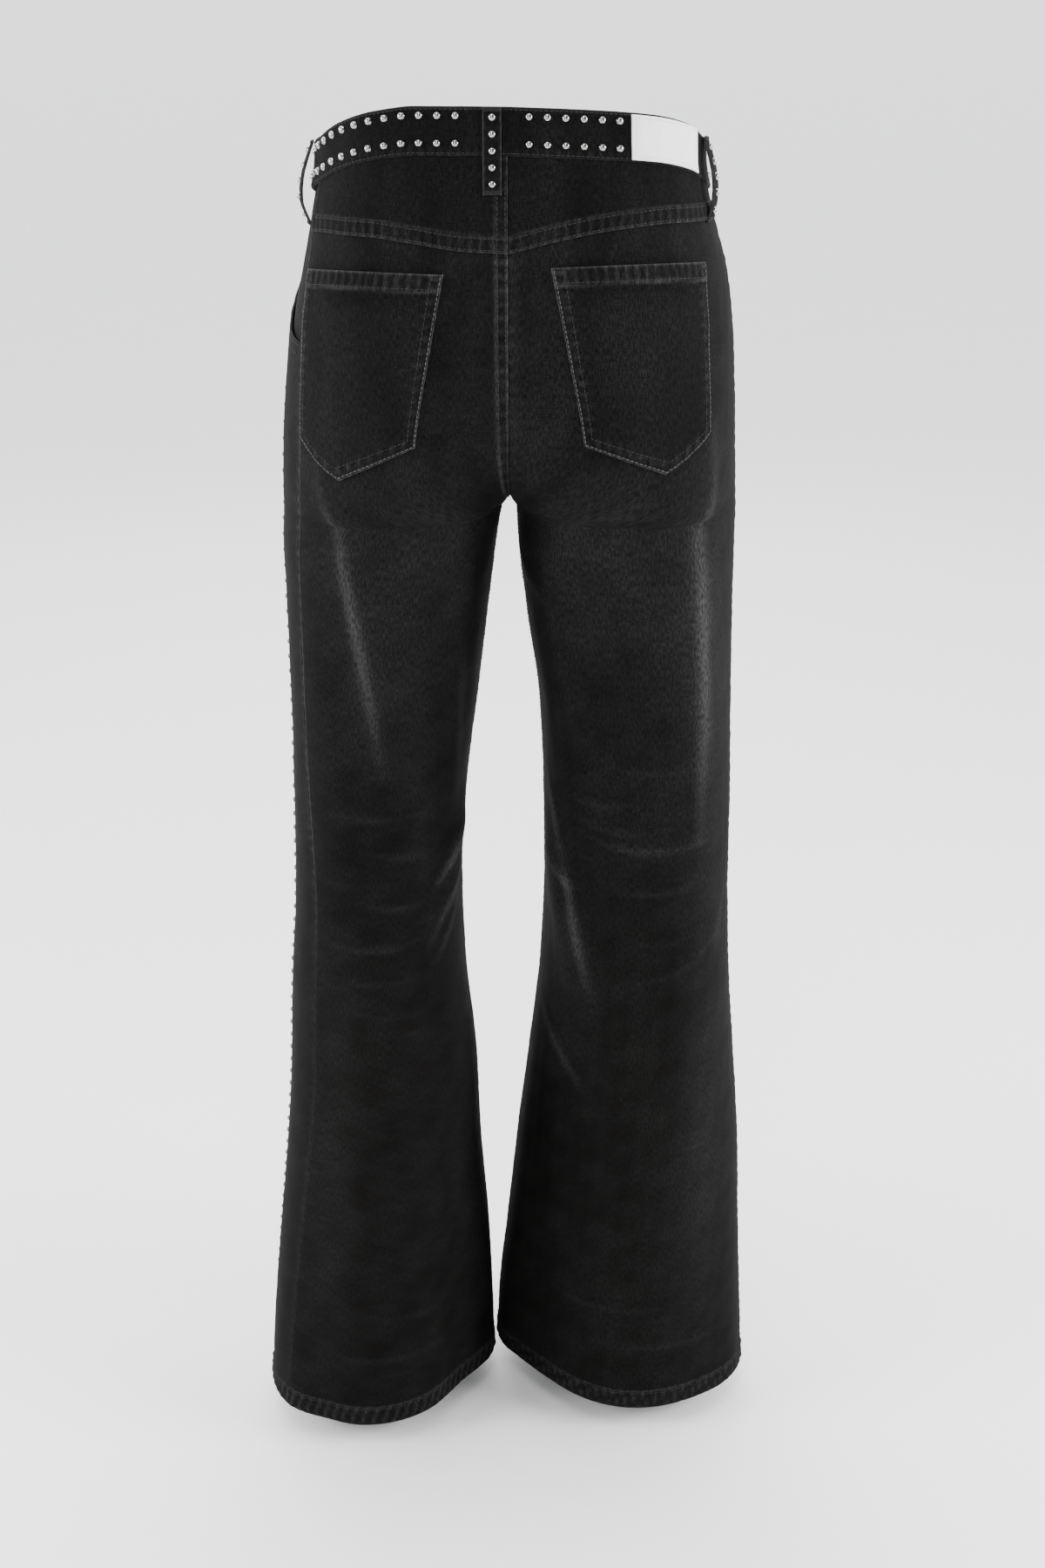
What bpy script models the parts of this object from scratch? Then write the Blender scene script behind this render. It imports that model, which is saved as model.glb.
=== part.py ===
"""Wide-leg jeans in the form they have when worn, as cut and sewn pieces.

The frame is in metres with +Z up. The origin is the centre of the waist, level with the waistband's
top edge at the sides. The wearer's left is +X, the front of the jeans faces -Y and the back faces +Y.
Every cloth piece is a wall laid on one base surface. A place on that surface is a leg (LEFT or RIGHT),
a height, and a place around: 0 is the centre back or the inseam's back edge, 1 is the outseam and
2 is the centre front or the inseam's front edge.
"""

import math
from collections import namedtuple
from functools import lru_cache

import bmesh
import bpy
import numpy as np
from mathutils import Matrix, Vector

COLLECTION_NAME = "wide_leg_jeans"
LEFT, RIGHT = 1, -1

# Cloth and gaps
CLOTH = 0.0016
SEAM_GAP = 0.0003
LAID_GAP = 0.0003
POCKET_GAP = 0.0008
FACING_GAP = 0.0009

# Heights that matter
CROTCH_HEIGHT = -0.236
LEVEL_HEIGHT = -0.10
HEM_HEIGHT = -1.040
HEM_FOLD = 0.019
HEM_THICKNESS = 0.0034
HEM_RIDGE = 0.0005

# Waistband
BAND_HEIGHT = 0.030
BAND_OUT = 0.0010
BAND_IN = 0.0020
BAND_STEP = BAND_OUT + BAND_IN + LAID_GAP
OVERLAP = 0.14
UNDERLAP = 0.08
BAND_STEP_START = 1.70
BAND_STEP_STOP = 1.88
BAND_ROWS = 3
BAND_COLUMNS = 72

# Studs
STUD_RADIUS = 0.0025
STUD_SINK = 0.0005
STUD_FLATNESS = 0.85
STUD_PITCH = 0.0118
STUD_TOP_INSET = 0.0058
STUD_BOTTOM_INSET = 0.0077
STUD_SIDES = 6
STUD_RINGS = 4
STUD_MARGIN = 0.0015
BAND_STUD_END = 0.352

# Belt loops
LOOP_WIDTH = 0.0122
LOOP_LENGTH = 0.0535
LOOP_THICKNESS = 0.0018
LOOP_STUDS = 5
LOOP_STUD_INSET = 0.0065
LOOP_CLEARANCE = 0.0238
LOOP_ROWS = 11
LOOP_LANDING = 0.72
BACK_LOOP_AT = 0.0100

# Leather patch
PATCH_START = 0.0805
PATCH_WIDTH = 0.062
PATCH_THICKNESS = 0.0012
PATCH_INSET = 0.0012
PATCH_ROWS = 4
PATCH_COLUMNS = 12

# Front pocket's mouth and the facing behind it
SCOOP_BOTTOM = -0.118
SCOOP_REACH = 0.42
FACING_TUCK = 0.014

# Strip behind the front opening
FLY_BOTTOM = -0.135
FLY_LEFT = 0.034
FLY_RIGHT = 0.012

# Rows and columns of each piece's grid
BACK_COLUMNS = 13
FRONT_COLUMNS = 13
YOKE_ROWS = 4
FACING_COLUMNS = 7
FLY_ROWS = 7
FLY_COLUMNS = 6
POCKET_ROWS = 10
POCKET_COLUMNS = 12
BACK_SHARES = (1.0, 0.66, 0.33, 0.0)
FRONT_SHARES = (1.0, 0.75, 0.5, 0.3, 0.16, 0.07, 0.02, 0.0)
FACING_SHARES = (1.0, 0.75, 0.5, 0.3, 0.16, 0.07, 0.0, -0.14)
LEVELS = (
    -0.130, -0.160, -0.185, -0.205, -0.219, -0.2285, -0.2345, -0.2375, -0.243, -0.253, -0.272,
    -0.305, -0.350, -0.400, -0.450, -0.500, -0.545, -0.590, -0.640, -0.700, -0.760, -0.820,
    -0.880, -0.940, -0.990, -1.0205, -1.0215, -1.040,
)

# Button
BUTTON_RADIUS = 0.0085
BUTTON_SHANK_RADIUS = 0.0042
BUTTON_SHANK = 0.0024
BUTTON_HEAD = 0.0034

# Shape of a section, and how the surface and its normals are sampled
SQUARENESS = 2.35
RING_STEPS = 96
NORMAL_REACH = 0.003
NORMAL_REACH_AROUND = 0.02

# Folds: metres for a unit around, height left at a fold's ends, and where folds fade at the seams
FOLD_SCALE = 0.27
FOLD_END = 0.35
FOLD_EDGE = 0.12

# Reach of a section's tangent in places around, and how far below the crotch pieces keep apart
TANGENT_REACH = 0.01
PARTED_REACH = 0.03

# Sizes of a horizontal section, with distances from the centre plane and seam angles in degrees
SECTION_COLUMNS = (
    "height", "left_inner", "left_outer", "right_inner", "right_outer", "back", "front",
    "left_shift", "right_shift", "left_seam", "right_seam",
)
SECTIONS = (
    (0.045, 0.0000, 0.1310, 0.0000, 0.1340, 0.1030, 0.0980, 0.000, 0.000, 24, 16),
    (0.000, 0.0000, 0.1325, 0.0000, 0.1350, 0.1060, 0.0995, 0.000, 0.000, 24, 16),
    (-0.035, 0.0000, 0.1385, 0.0000, 0.1420, 0.1110, 0.1020, 0.000, 0.000, 26, 15),
    (-0.074, 0.0000, 0.1468, 0.0000, 0.1530, 0.1170, 0.1035, 0.000, 0.000, 30, 14),
    (-0.104, 0.0000, 0.1535, 0.0000, 0.1575, 0.1205, 0.1045, 0.000, 0.000, 34, 13),
    (-0.135, 0.0000, 0.1578, 0.0000, 0.1600, 0.1230, 0.1050, 0.000, 0.000, 38, 12),
    (-0.198, 0.0000, 0.1640, 0.0000, 0.1635, 0.1220, 0.1045, 0.000, 0.000, 43, 10),
    (-0.236, 0.0002, 0.1655, 0.0002, 0.1655, 0.1180, 0.1030, 0.000, 0.000, 43, 8),
    (-0.2375, 0.0036, 0.1655, 0.0036, 0.1656, 0.1178, 0.1029, 0.000, 0.000, 43, 8),
    (-0.241, 0.0046, 0.1657, 0.0046, 0.1658, 0.1172, 0.1028, 0.000, 0.000, 43, 8),
    (-0.250, 0.0062, 0.1664, 0.0054, 0.1661, 0.1162, 0.1022, 0.000, 0.000, 43, 8),
    (-0.263, 0.0085, 0.1672, 0.0060, 0.1662, 0.1150, 0.1015, 0.001, 0.000, 43, 7),
    (-0.332, 0.0175, 0.1672, 0.0135, 0.1678, 0.1060, 0.0975, 0.003, -0.001, 43, 5),
    (-0.402, 0.0262, 0.1675, 0.0232, 0.1700, 0.0980, 0.0945, 0.005, -0.002, 43, 4),
    (-0.476, 0.0352, 0.1692, 0.0265, 0.1728, 0.0920, 0.0920, 0.005, -0.003, 47, 4),
    (-0.553, 0.0395, 0.1718, 0.0275, 0.1745, 0.0885, 0.0900, 0.006, -0.004, 51, 4),
    (-0.632, 0.0372, 0.1781, 0.0245, 0.1787, 0.0870, 0.0885, 0.006, -0.005, 51, 4),
    (-0.716, 0.0296, 0.1829, 0.0160, 0.1868, 0.0865, 0.0875, 0.006, -0.007, 48, 4),
    (-0.802, 0.0265, 0.1908, 0.0063, 0.1946, 0.0865, 0.0870, 0.006, -0.009, 44, 4),
    (-0.893, 0.0206, 0.2015, -0.0025, 0.1996, 0.0870, 0.0870, 0.005, -0.012, 40, 4),
    (-0.988, 0.0173, 0.2110, -0.0115, 0.2055, 0.0880, 0.0875, 0.004, -0.014, 37, 4),
    (-1.045, 0.0165, 0.2150, -0.0135, 0.2085, 0.0885, 0.0880, 0.004, -0.016, 36, 4),
)

# How square a section is, and how far its outer side turns to the back
SHAPE_COLUMNS = ("height", "squareness", "skew")
SHAPES = (
    (0.045, SQUARENESS, 0.000), (-0.300, SQUARENESS, 0.000), (-0.550, 2.20, 0.004),
    (-0.800, 2.06, 0.010), (-1.045, 2.00, 0.015),
)

# Distance of each half's middle from the centre plane, above the crotch
PELVIS_MIDDLE_COLUMNS = ("height", "middle")
PELVIS_MIDDLES = (
    (0.045, 0.026), (0.000, 0.030), (-0.050, 0.045), (-0.100, 0.060),
    (-0.150, 0.072), (-0.200, 0.080), (-0.236, 0.08335),
)

# The rise seam in the centre plane, from the waist down to the crotch
RISE_COLUMNS = ("height", "back", "front")
RISE = (
    (0.045, 0.1030, 0.0980), (0.000, 0.1060, 0.0995), (-0.050, 0.1125, 0.1020),
    (-0.100, 0.1170, 0.1030), (-0.140, 0.1165, 0.1010), (-0.170, 0.1110, 0.0960),
    (-0.192, 0.1010, 0.0880), (-0.208, 0.0870, 0.0760), (-0.220, 0.0690, 0.0590),
    (-0.229, 0.0480, 0.0390), (-0.234, 0.0260, 0.0200), (-0.236, 0.0010, 0.0010),
)

# Heights of the edges that run around the body, by place around
EDGE_COLUMNS = ("around", "left_top", "right_top", "left_seam", "right_seam")
EDGES = (
    (0.0, 0.0350, 0.0350, -0.0494, -0.0494),
    (0.2, 0.0353, 0.0339, -0.0476, -0.0407),
    (0.4, 0.0353, 0.0322, -0.0429, -0.0346),
    (0.6, 0.0317, 0.0291, -0.0398, -0.0324),
    (0.8, 0.0243, 0.0224, -0.0398, -0.0336),
    (1.0, 0.0140, 0.0112, -0.0411, -0.0346),
    (1.3, 0.0008, 0.0000, -0.0411, -0.0346),
    (1.7, -0.0180, -0.0180, -0.0411, -0.0346),
    (2.0, -0.0230, -0.0230, -0.0411, -0.0346),
)

# Folds: a ridge, or a trough if negative, along a line between two places
Fold = namedtuple("Fold", "leg top_height top_around bottom_height bottom_around half_width ridge")
FOLDS = (
    Fold(LEFT, -0.200, 0.83, -0.430, 0.62, 0.024, 0.0040),
    Fold(RIGHT, -0.200, 0.62, -0.430, 0.70, 0.026, 0.0040),
    Fold(LEFT, -0.480, 0.13, -0.570, 0.38, 0.022, 0.0045),
    Fold(RIGHT, -0.500, 0.12, -0.640, 0.36, 0.022, 0.0045),
    Fold(LEFT, -0.560, 0.31, -0.545, 0.83, 0.020, -0.0030),
    Fold(RIGHT, -0.545, 0.30, -0.560, 0.80, 0.020, -0.0030),
    Fold(LEFT, -0.720, 0.26, -1.250, 0.25, 0.045, -0.0115),
    Fold(LEFT, -0.620, 0.86, -1.250, 0.84, 0.030, -0.0050),
    Fold(RIGHT, -0.700, 0.27, -1.250, 0.20, 0.050, -0.0120),
    Fold(RIGHT, -0.700, 0.80, -1.250, 0.76, 0.045, -0.0070),
    Fold(LEFT, -0.250, 1.79, -0.420, 1.54, 0.026, 0.0040),
    Fold(RIGHT, -0.250, 1.78, -0.420, 1.52, 0.026, 0.0040),
    Fold(LEFT, -0.700, 1.53, -1.030, 1.51, 0.034, 0.0045),
    Fold(RIGHT, -0.700, 1.52, -1.030, 1.50, 0.034, 0.0045),
)

# Belt loops: metres from the centre back, how far the strap stands off between its ends, and the
# offset of the cloth that its lower end lands on
Loop = namedtuple("Loop", "name at stand ground")
LOOPS = (
    Loop("belt_loop_back", BACK_LOOP_AT, 0.0010, 0.0),
    Loop("belt_loop_side_left", 0.1740, 0.0060, -CLOTH - FACING_GAP),
    Loop("belt_loop_side_right", -0.1600, 0.0060, 0.0),
    Loop("belt_loop_front_left", 0.3000, 0.0030, 0.0),
    Loop("belt_loop_front_right", -0.3000, 0.0030, 0.0),
)

# Back pockets: each corner's distance from the centre back and its height, and the top edge's crown
POCKET_CROWN = 0.0020
POCKET_CORNERS = ("top_in", "top_out", "low_out", "tip", "low_in")
POCKETS = {
    "left": {
        "top_in": (0.0418, -0.067), "top_out": (0.1540, -0.070), "low_out": (0.1550, -0.179),
        "tip": (0.1230, -0.203), "low_in": (0.0644, -0.179),
    },
    "right": {
        "top_in": (0.0279, -0.063), "top_out": (0.1420, -0.064), "low_out": (0.1460, -0.174),
        "tip": (0.1120, -0.198), "low_in": (0.0528, -0.178),
    },
}


def column(rows, names, name):
    """One named column of a table, with its first column, in rising order of the first."""
    ordered = sorted(rows)
    place = names.index(name)
    return np.array([row[0] for row in ordered]), np.array([row[place] for row in ordered])


def monotone(rows, names, name, at):
    """A table's column read at a value, along a smooth curve that never overshoots its rows."""
    places, values = column(rows, names, name)
    widths = np.diff(places)
    slopes = np.diff(values) / widths
    tangents = np.concatenate(([slopes[0]], np.zeros(len(slopes) - 1), [slopes[-1]]))
    for i in range(1, len(slopes)):
        if slopes[i - 1] * slopes[i] > 0:
            before, after = 2 * widths[i] + widths[i - 1], widths[i] + 2 * widths[i - 1]
            tangents[i] = (before + after) / (before / slopes[i - 1] + after / slopes[i])
    at = float(np.clip(at, places[0], places[-1]))
    i = min(int(np.searchsorted(places, at, side="right")) - 1, len(widths) - 1)
    t = (at - places[i]) / widths[i]
    return float(
        values[i] * (1 + 2 * t) * (1 - t) ** 2
        + tangents[i] * widths[i] * t * (1 - t) ** 2
        + values[i + 1] * t * t * (3 - 2 * t)
        + tangents[i + 1] * widths[i] * t * t * (t - 1)
    )


def section(name, height):
    """A named size of the body's section at a height."""
    return monotone(SECTIONS, SECTION_COLUMNS, name, height)


def inner_reach(middle, rise, depth):
    """Half width that makes a section's inner side cross the centre plane on the rise seam."""
    share = min(max(rise / depth, 0.0), 0.9995)
    return middle / (1.0 - share**SQUARENESS) ** (1.0 / SQUARENESS)


@lru_cache(maxsize=None)
def ring(leg, height):
    """The section of one leg at a height: places around, and points from back to front."""
    word = "left" if leg == LEFT else "right"
    inner, outer = section(word + "_inner", height), section(word + "_outer", height)
    back, front = section("back", height), section("front", height)
    power = 2.0 / monotone(SHAPES, SHAPE_COLUMNS, "squareness", height)
    if height >= CROTCH_HEIGHT:
        middle = monotone(PELVIS_MIDDLES, PELVIS_MIDDLE_COLUMNS, "middle", height)
        reach_back = inner_reach(middle, monotone(RISE, RISE_COLUMNS, "back", height), back)
        reach_front = inner_reach(middle, monotone(RISE, RISE_COLUMNS, "front", height), front)
        start = math.pi - math.acos((middle / reach_back) ** (1 / power))
        stop = -math.pi + math.acos((middle / reach_front) ** (1 / power))
    else:
        middle = (inner + outer) / 2.0
        reach_back = reach_front = middle - inner
        start, stop = math.pi, -math.pi
    seam = math.radians(section(word + "_seam", height))
    turns = np.concatenate((
        np.linspace(start, seam, RING_STEPS // 2 + 1),
        np.linspace(seam, stop, RING_STEPS // 2 + 1)[1:],
    ))
    across, along = np.cos(turns), np.sin(turns)
    reach = np.where(across >= 0, outer - middle, np.where(along >= 0, reach_back, reach_front))
    x = middle + reach * np.sign(across) * np.abs(across) ** power
    y = np.where(along >= 0, back, front) * np.sign(along) * np.abs(along) ** power
    if height >= CROTCH_HEIGHT:
        x[0] = x[-1] = 0.0
    skew = monotone(SHAPES, SHAPE_COLUMNS, "skew", height)
    y += skew * (x - middle) / (outer - middle) + section(word + "_shift", height)
    points = np.stack((leg * x, y), axis=1)
    steps = np.concatenate(([0.0], np.cumsum(np.linalg.norm(np.diff(points, axis=0), axis=1))))
    at_seam = steps[RING_STEPS // 2]
    around = np.where(steps <= at_seam, steps / at_seam, 1 + (steps - at_seam) / (steps[-1] - at_seam))
    return around, points, at_seam, steps[-1] - at_seam


def fold_height(leg, height, around):
    """How far the folds lift the cloth at a place."""
    total = 0.0
    here = np.array((height, around * FOLD_SCALE))
    for fold in FOLDS:
        if fold.leg != leg:
            continue
        start = np.array((fold.top_height, fold.top_around * FOLD_SCALE))
        line = np.array((fold.bottom_height, fold.bottom_around * FOLD_SCALE)) - start
        share = float(np.clip(np.dot(here - start, line) / np.dot(line, line), 0.0, 1.0))
        gap = float(np.linalg.norm(here - start - share * line))
        swell = FOLD_END + (1.0 - FOLD_END) * math.sin(math.pi * share)
        total += fold.ridge * swell * math.exp(-((gap / fold.half_width) ** 2))
    return total


def base_point(leg, height, around):
    """A point of the base surface, with its folds. Below the crotch it runs on over the inseam."""
    places, points, _, _ = ring(leg, round(height, 6))
    around = around % 2.0 if height < CROTCH_HEIGHT else min(max(around, 0.0), 2.0)
    x = np.interp(around, places, points[:, 0])
    y = np.interp(around, places, points[:, 1])
    before, after = max(around - TANGENT_REACH, 0.0), min(around + TANGENT_REACH, 2.0)
    tangent_x = np.interp(after, places, points[:, 0]) - np.interp(before, places, points[:, 0])
    tangent_y = np.interp(after, places, points[:, 1]) - np.interp(before, places, points[:, 1])
    length = math.hypot(tangent_x, tangent_y)
    edge = min(around, 2.0 - around) / FOLD_EDGE
    lift = fold_height(leg, height, around) * min(edge, 1.0) / length
    return np.array((x - leg * tangent_y * lift, y + leg * tangent_x * lift, height))


def surface(leg, height, around, offset):
    """A point at a distance outside the base surface, along the surface's normal."""
    above = base_point(leg, height + NORMAL_REACH, around)
    below = base_point(leg, height - NORMAL_REACH, around)
    after = base_point(leg, height, around + NORMAL_REACH_AROUND)
    before = base_point(leg, height, around - NORMAL_REACH_AROUND)
    normal = leg * np.cross(above - below, after - before)
    normal /= np.linalg.norm(normal)
    return base_point(leg, height, around) + offset * normal, normal


def side_of(place):
    """Leg and place around for a signed place: left is positive, and past 2 it crosses the front."""
    if place > 2.0:
        return RIGHT, 4.0 - place
    if place < -2.0:
        return LEFT, 4.0 + place
    return (LEFT, place) if place >= 0.0 else (RIGHT, -place)


def edge_height(name, place):
    """Height of an edge that runs around the body, at a signed place."""
    leg, around = side_of(place)
    word = "left_" if leg == LEFT else "right_"
    return monotone(EDGES, EDGE_COLUMNS, word + name, around)


def band_bottom(place):
    """Height of the waistband's lower edge."""
    return edge_height("top", place) - BAND_HEIGHT


def unit_length(place, height):
    """Metres for each unit of place, on the back or the front half."""
    leg, around = side_of(place)
    _, _, back, front = ring(leg, round(height, 6))
    return back if around < 1.0 else front


def place_at(metres, height):
    """Signed place that lies some metres from the centre back, measured along the body."""
    sign = 1.0 if metres >= 0.0 else -1.0
    back = unit_length(sign * 0.5, height)
    front = unit_length(sign * 1.5, height)
    metres = abs(metres)
    return sign * (metres / back if metres < back else 1.0 + (metres - back) / front)


def lay(heights, places, offsets, parted=True):
    """Points on the base surface from grids of heights, signed places and offsets."""
    heights, places, offsets = np.broadcast_arrays(heights, places, offsets)
    points = np.empty(heights.shape + (3,))
    for at in np.ndindex(heights.shape):
        leg, around = side_of(places[at])
        point, _ = surface(leg, heights[at], around, offsets[at])
        if parted and heights[at] > CROTCH_HEIGHT - PARTED_REACH:
            point[0] = leg * max(leg * point[0], SEAM_GAP / 2)
        points[at] = point
    return points


def wall_mesh(name, outer, inner):
    """A closed wall from two grids of points, one on each face of the cloth."""
    rows, columns = outer.shape[:2]
    mesh = bpy.data.meshes.new(name)
    work = bmesh.new()
    skins = [[[work.verts.new(p) for p in row] for row in grid] for grid in (outer, inner)]
    for skin in skins:
        for r in range(rows - 1):
            for c in range(columns - 1):
                work.faces.new((skin[r][c], skin[r][c + 1], skin[r + 1][c + 1], skin[r + 1][c]))
    border = [(r, 0) for r in range(rows)] + [(rows - 1, c) for c in range(1, columns)]
    border += [(r, columns - 1) for r in range(rows - 2, -1, -1)]
    border += [(0, c) for c in range(columns - 2, 0, -1)]
    for (r, c), (next_r, next_c) in zip(border, border[1:] + border[:1]):
        work.faces.new((skins[0][r][c], skins[0][next_r][next_c], skins[1][next_r][next_c], skins[1][r][c]))
    bmesh.ops.triangulate(work, faces=work.faces)
    bmesh.ops.recalc_face_normals(work, faces=work.faces)
    work.to_mesh(mesh)
    work.free()
    return mesh


def material(name, colour, roughness, metallic):
    """A plain Principled material."""
    made = bpy.data.materials.new(name)
    made.use_nodes = True
    shader = made.node_tree.nodes["Principled BSDF"]
    shader.inputs["Base Color"].default_value = (*colour, 1.0)
    shader.inputs["Roughness"].default_value = roughness
    shader.inputs["Metallic"].default_value = metallic
    made.diffuse_color = (*colour, 1.0)
    return made


def add_object(name, mesh, finish, collection):
    """Links a mesh as a named object with its material."""
    mesh.materials.append(finish)
    made = bpy.data.objects.new(name, mesh)
    collection.objects.link(made)
    return made


def cloth_piece(name, heights, places, outer, inner, finish, collection, parted=True):
    """A cloth wall between two offsets from the base surface."""
    heights, places = np.broadcast_arrays(heights, places)
    faces = [lay(heights, places, offset, parted) for offset in (outer, inner)]
    return add_object(name, wall_mesh(name, *faces), finish, collection)


def panel_columns(heights, starts, stops, count):
    """Places across a panel, row by row, between two edges with half a seam's gap at each."""
    rows = []
    for height, start, stop in zip(heights, starts, stops):
        half_gap = SEAM_GAP / 2 / unit_length((start + stop) / 2, height)
        turn = math.copysign(half_gap, stop - start)
        rows.append(np.linspace(start + turn, stop - turn, count))
    return np.array(rows)


def leg_offsets(heights):
    """Outer and inner offsets of a leg panel, thicker where the hem is folded up."""
    folded = heights < HEM_HEIGHT + HEM_FOLD - 0.0004
    return np.where(folded, HEM_RIDGE, 0.0), np.where(folded, -HEM_THICKNESS, -CLOTH)


def hung_rows(top_edge, shares, places, level):
    """Heights that pass from an edge line down to a level, one row for each share of the way."""
    edge = np.vectorize(top_edge)
    return np.array([edge(row) * share + level * (1 - share) for row, share in zip(places, shares)])


def back_panel(leg, name, finish, collection):
    """The back of one leg, from the yoke seam to the hem."""
    count = len(BACK_SHARES)
    guide = [LEVEL_HEIGHT] * count + list(LEVELS)
    places = panel_columns(guide, [0.0] * len(guide), [leg * 1.0] * len(guide), BACK_COLUMNS)

    def top_edge(place):
        return edge_height("seam", place) - SEAM_GAP / 2

    hung = hung_rows(top_edge, BACK_SHARES, places[:count], LEVEL_HEIGHT)
    level = np.repeat(np.array(LEVELS)[:, None], BACK_COLUMNS, axis=1)
    heights = np.vstack((hung, level))
    cloth_piece(name, heights, places, *leg_offsets(heights), finish, collection)


def scoop_reach(share):
    """How far round the front pocket's mouth has come, from the outseam, at a share of its height."""
    return SCOOP_REACH * math.sqrt(1.0 - (1.0 - share) ** 2)


def front_panel(leg, name, finish, collection):
    """The front of one leg, from the waistband to the hem, cut away at the pocket's mouth."""
    count = len(FRONT_SHARES)
    lower = [level for level in LEVELS if level < SCOOP_BOTTOM - 0.005]
    guide = [SCOOP_BOTTOM] * count + lower
    starts = [leg * (1.0 + scoop_reach(share)) for share in FRONT_SHARES] + [leg * 1.0] * len(lower)
    places = panel_columns(guide, starts, [leg * 2.0] * len(guide), FRONT_COLUMNS)

    def top_edge(place):
        return band_bottom(place) - SEAM_GAP

    hung = hung_rows(top_edge, FRONT_SHARES, places[:count], SCOOP_BOTTOM)
    level = np.repeat(np.array(lower)[:, None], FRONT_COLUMNS, axis=1)
    heights = np.vstack((hung, level))
    cloth_piece(name, heights, places, *leg_offsets(heights), finish, collection)


def pocket_facing(leg, name, finish, collection):
    """The cloth seen in a front pocket's mouth, tucked under the front panel."""
    under = FACING_TUCK / unit_length(leg * 1.5, SCOOP_BOTTOM)
    stops = [leg * (1.0 + scoop_reach(max(share, 0.0)) + under) for share in FACING_SHARES]
    guide = [SCOOP_BOTTOM] * len(FACING_SHARES)
    places = panel_columns(guide, [leg * 1.0] * len(guide), stops, FACING_COLUMNS)

    def top_edge(place):
        return band_bottom(place) - SEAM_GAP

    heights = hung_rows(top_edge, FACING_SHARES, places, SCOOP_BOTTOM)
    outer = -CLOTH - FACING_GAP
    cloth_piece(name, heights, places, outer, outer - CLOTH, finish, collection)


def yoke(leg, name, finish, collection):
    """The shaped piece between the waistband and a back panel."""
    shares = np.linspace(1.0, 0.0, YOKE_ROWS)
    guide = [-0.03] * YOKE_ROWS
    places = panel_columns(guide, [0.0] * YOKE_ROWS, [leg * 1.0] * YOKE_ROWS, BACK_COLUMNS)
    top = np.vectorize(band_bottom)(places[0]) - SEAM_GAP
    bottom = np.vectorize(lambda place: edge_height("seam", place))(places[0]) + SEAM_GAP / 2
    heights = shares[:, None] * top + (1 - shares[:, None]) * bottom
    cloth_piece(name, heights, places, 0.0, -CLOTH, finish, collection)


def fly_shield(finish, collection):
    """The strip behind the closed front opening."""
    shares = np.linspace(1.0, 0.0, FLY_ROWS)
    reach_left = FLY_LEFT / unit_length(1.5, FLY_BOTTOM)
    reach_right = FLY_RIGHT / unit_length(-1.5, FLY_BOTTOM)
    half = FLY_COLUMNS // 2
    across = np.linspace(2.0 - reach_left, 2.0, half + 1)
    across = np.concatenate((across, np.linspace(2.0, 2.0 + reach_right, half + 1)[1:]))
    places = np.tile(across, (FLY_ROWS, 1))
    heights = shares[:, None] * (band_bottom(2.0) - SEAM_GAP) + (1 - shares[:, None]) * FLY_BOTTOM
    heights = np.repeat(heights, len(across), axis=1)
    outer = -CLOTH - FACING_GAP
    cloth_piece("fly_shield", heights, places, outer, outer - CLOTH, finish, collection, parted=False)


def smooth_step(value, start, stop):
    """0 before start, 1 after stop, smooth between."""
    share = np.clip((value - start) / (stop - start), 0.0, 1.0)
    return share * share * (3 - 2 * share)


def band_rise(place):
    """How far the waistband's left end stands out to lie on its right end."""
    return BAND_STEP * smooth_step(place, BAND_STEP_START, BAND_STEP_STOP)


def dome(work, centre, normal):
    """Adds one stud: a flattened sphere whose underside is cut off inside its wall."""
    turn = normal.to_track_quat("Z", "Y").to_matrix().to_4x4()
    made = bmesh.ops.create_uvsphere(
        work, u_segments=STUD_SIDES, v_segments=STUD_RINGS, radius=STUD_RADIUS
    )["verts"]
    for vert in made:
        vert.co.z = max(vert.co.z * STUD_FLATNESS, -STUD_SINK)
    move = Matrix.Translation(centre - STUD_SINK * normal) @ turn
    bmesh.ops.transform(work, matrix=move, verts=made)


def join_studs(base, spots):
    """Joins studs to a wall with one union."""
    mesh = bpy.data.meshes.new(base.name + "_studs")
    work = bmesh.new()
    for centre, normal in spots:
        dome(work, Vector(centre), Vector(normal))
    work.to_mesh(mesh)
    work.free()
    cutter = bpy.data.objects.new(base.name + "_studs", mesh)
    cutter.hide_render = True
    cutter.display_type = "WIRE"
    bpy.data.collections["guides"].objects.link(cutter)
    union = base.modifiers.new("studs", "BOOLEAN")
    union.operation = "UNION"
    union.solver = "EXACT"
    union.object = cutter


def stud_distances():
    """Metres from the centre back of each column of waistband studs."""
    spots = []
    for direction in (1, -1):
        at = BACK_LOOP_AT + direction * LOOP_CLEARANCE
        while abs(at) < BAND_STUD_END:
            spots.append(at)
            at += direction * STUD_PITCH
    clear = STUD_RADIUS + STUD_MARGIN
    half = LOOP_WIDTH / 2
    blocked = [(-PATCH_START - PATCH_WIDTH, -PATCH_START)]
    blocked += [(loop.at - half, loop.at + half) for loop in LOOPS[1:]]
    return [at for at in spots if all(at < low - clear or at > high + clear for low, high in blocked)]


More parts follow.
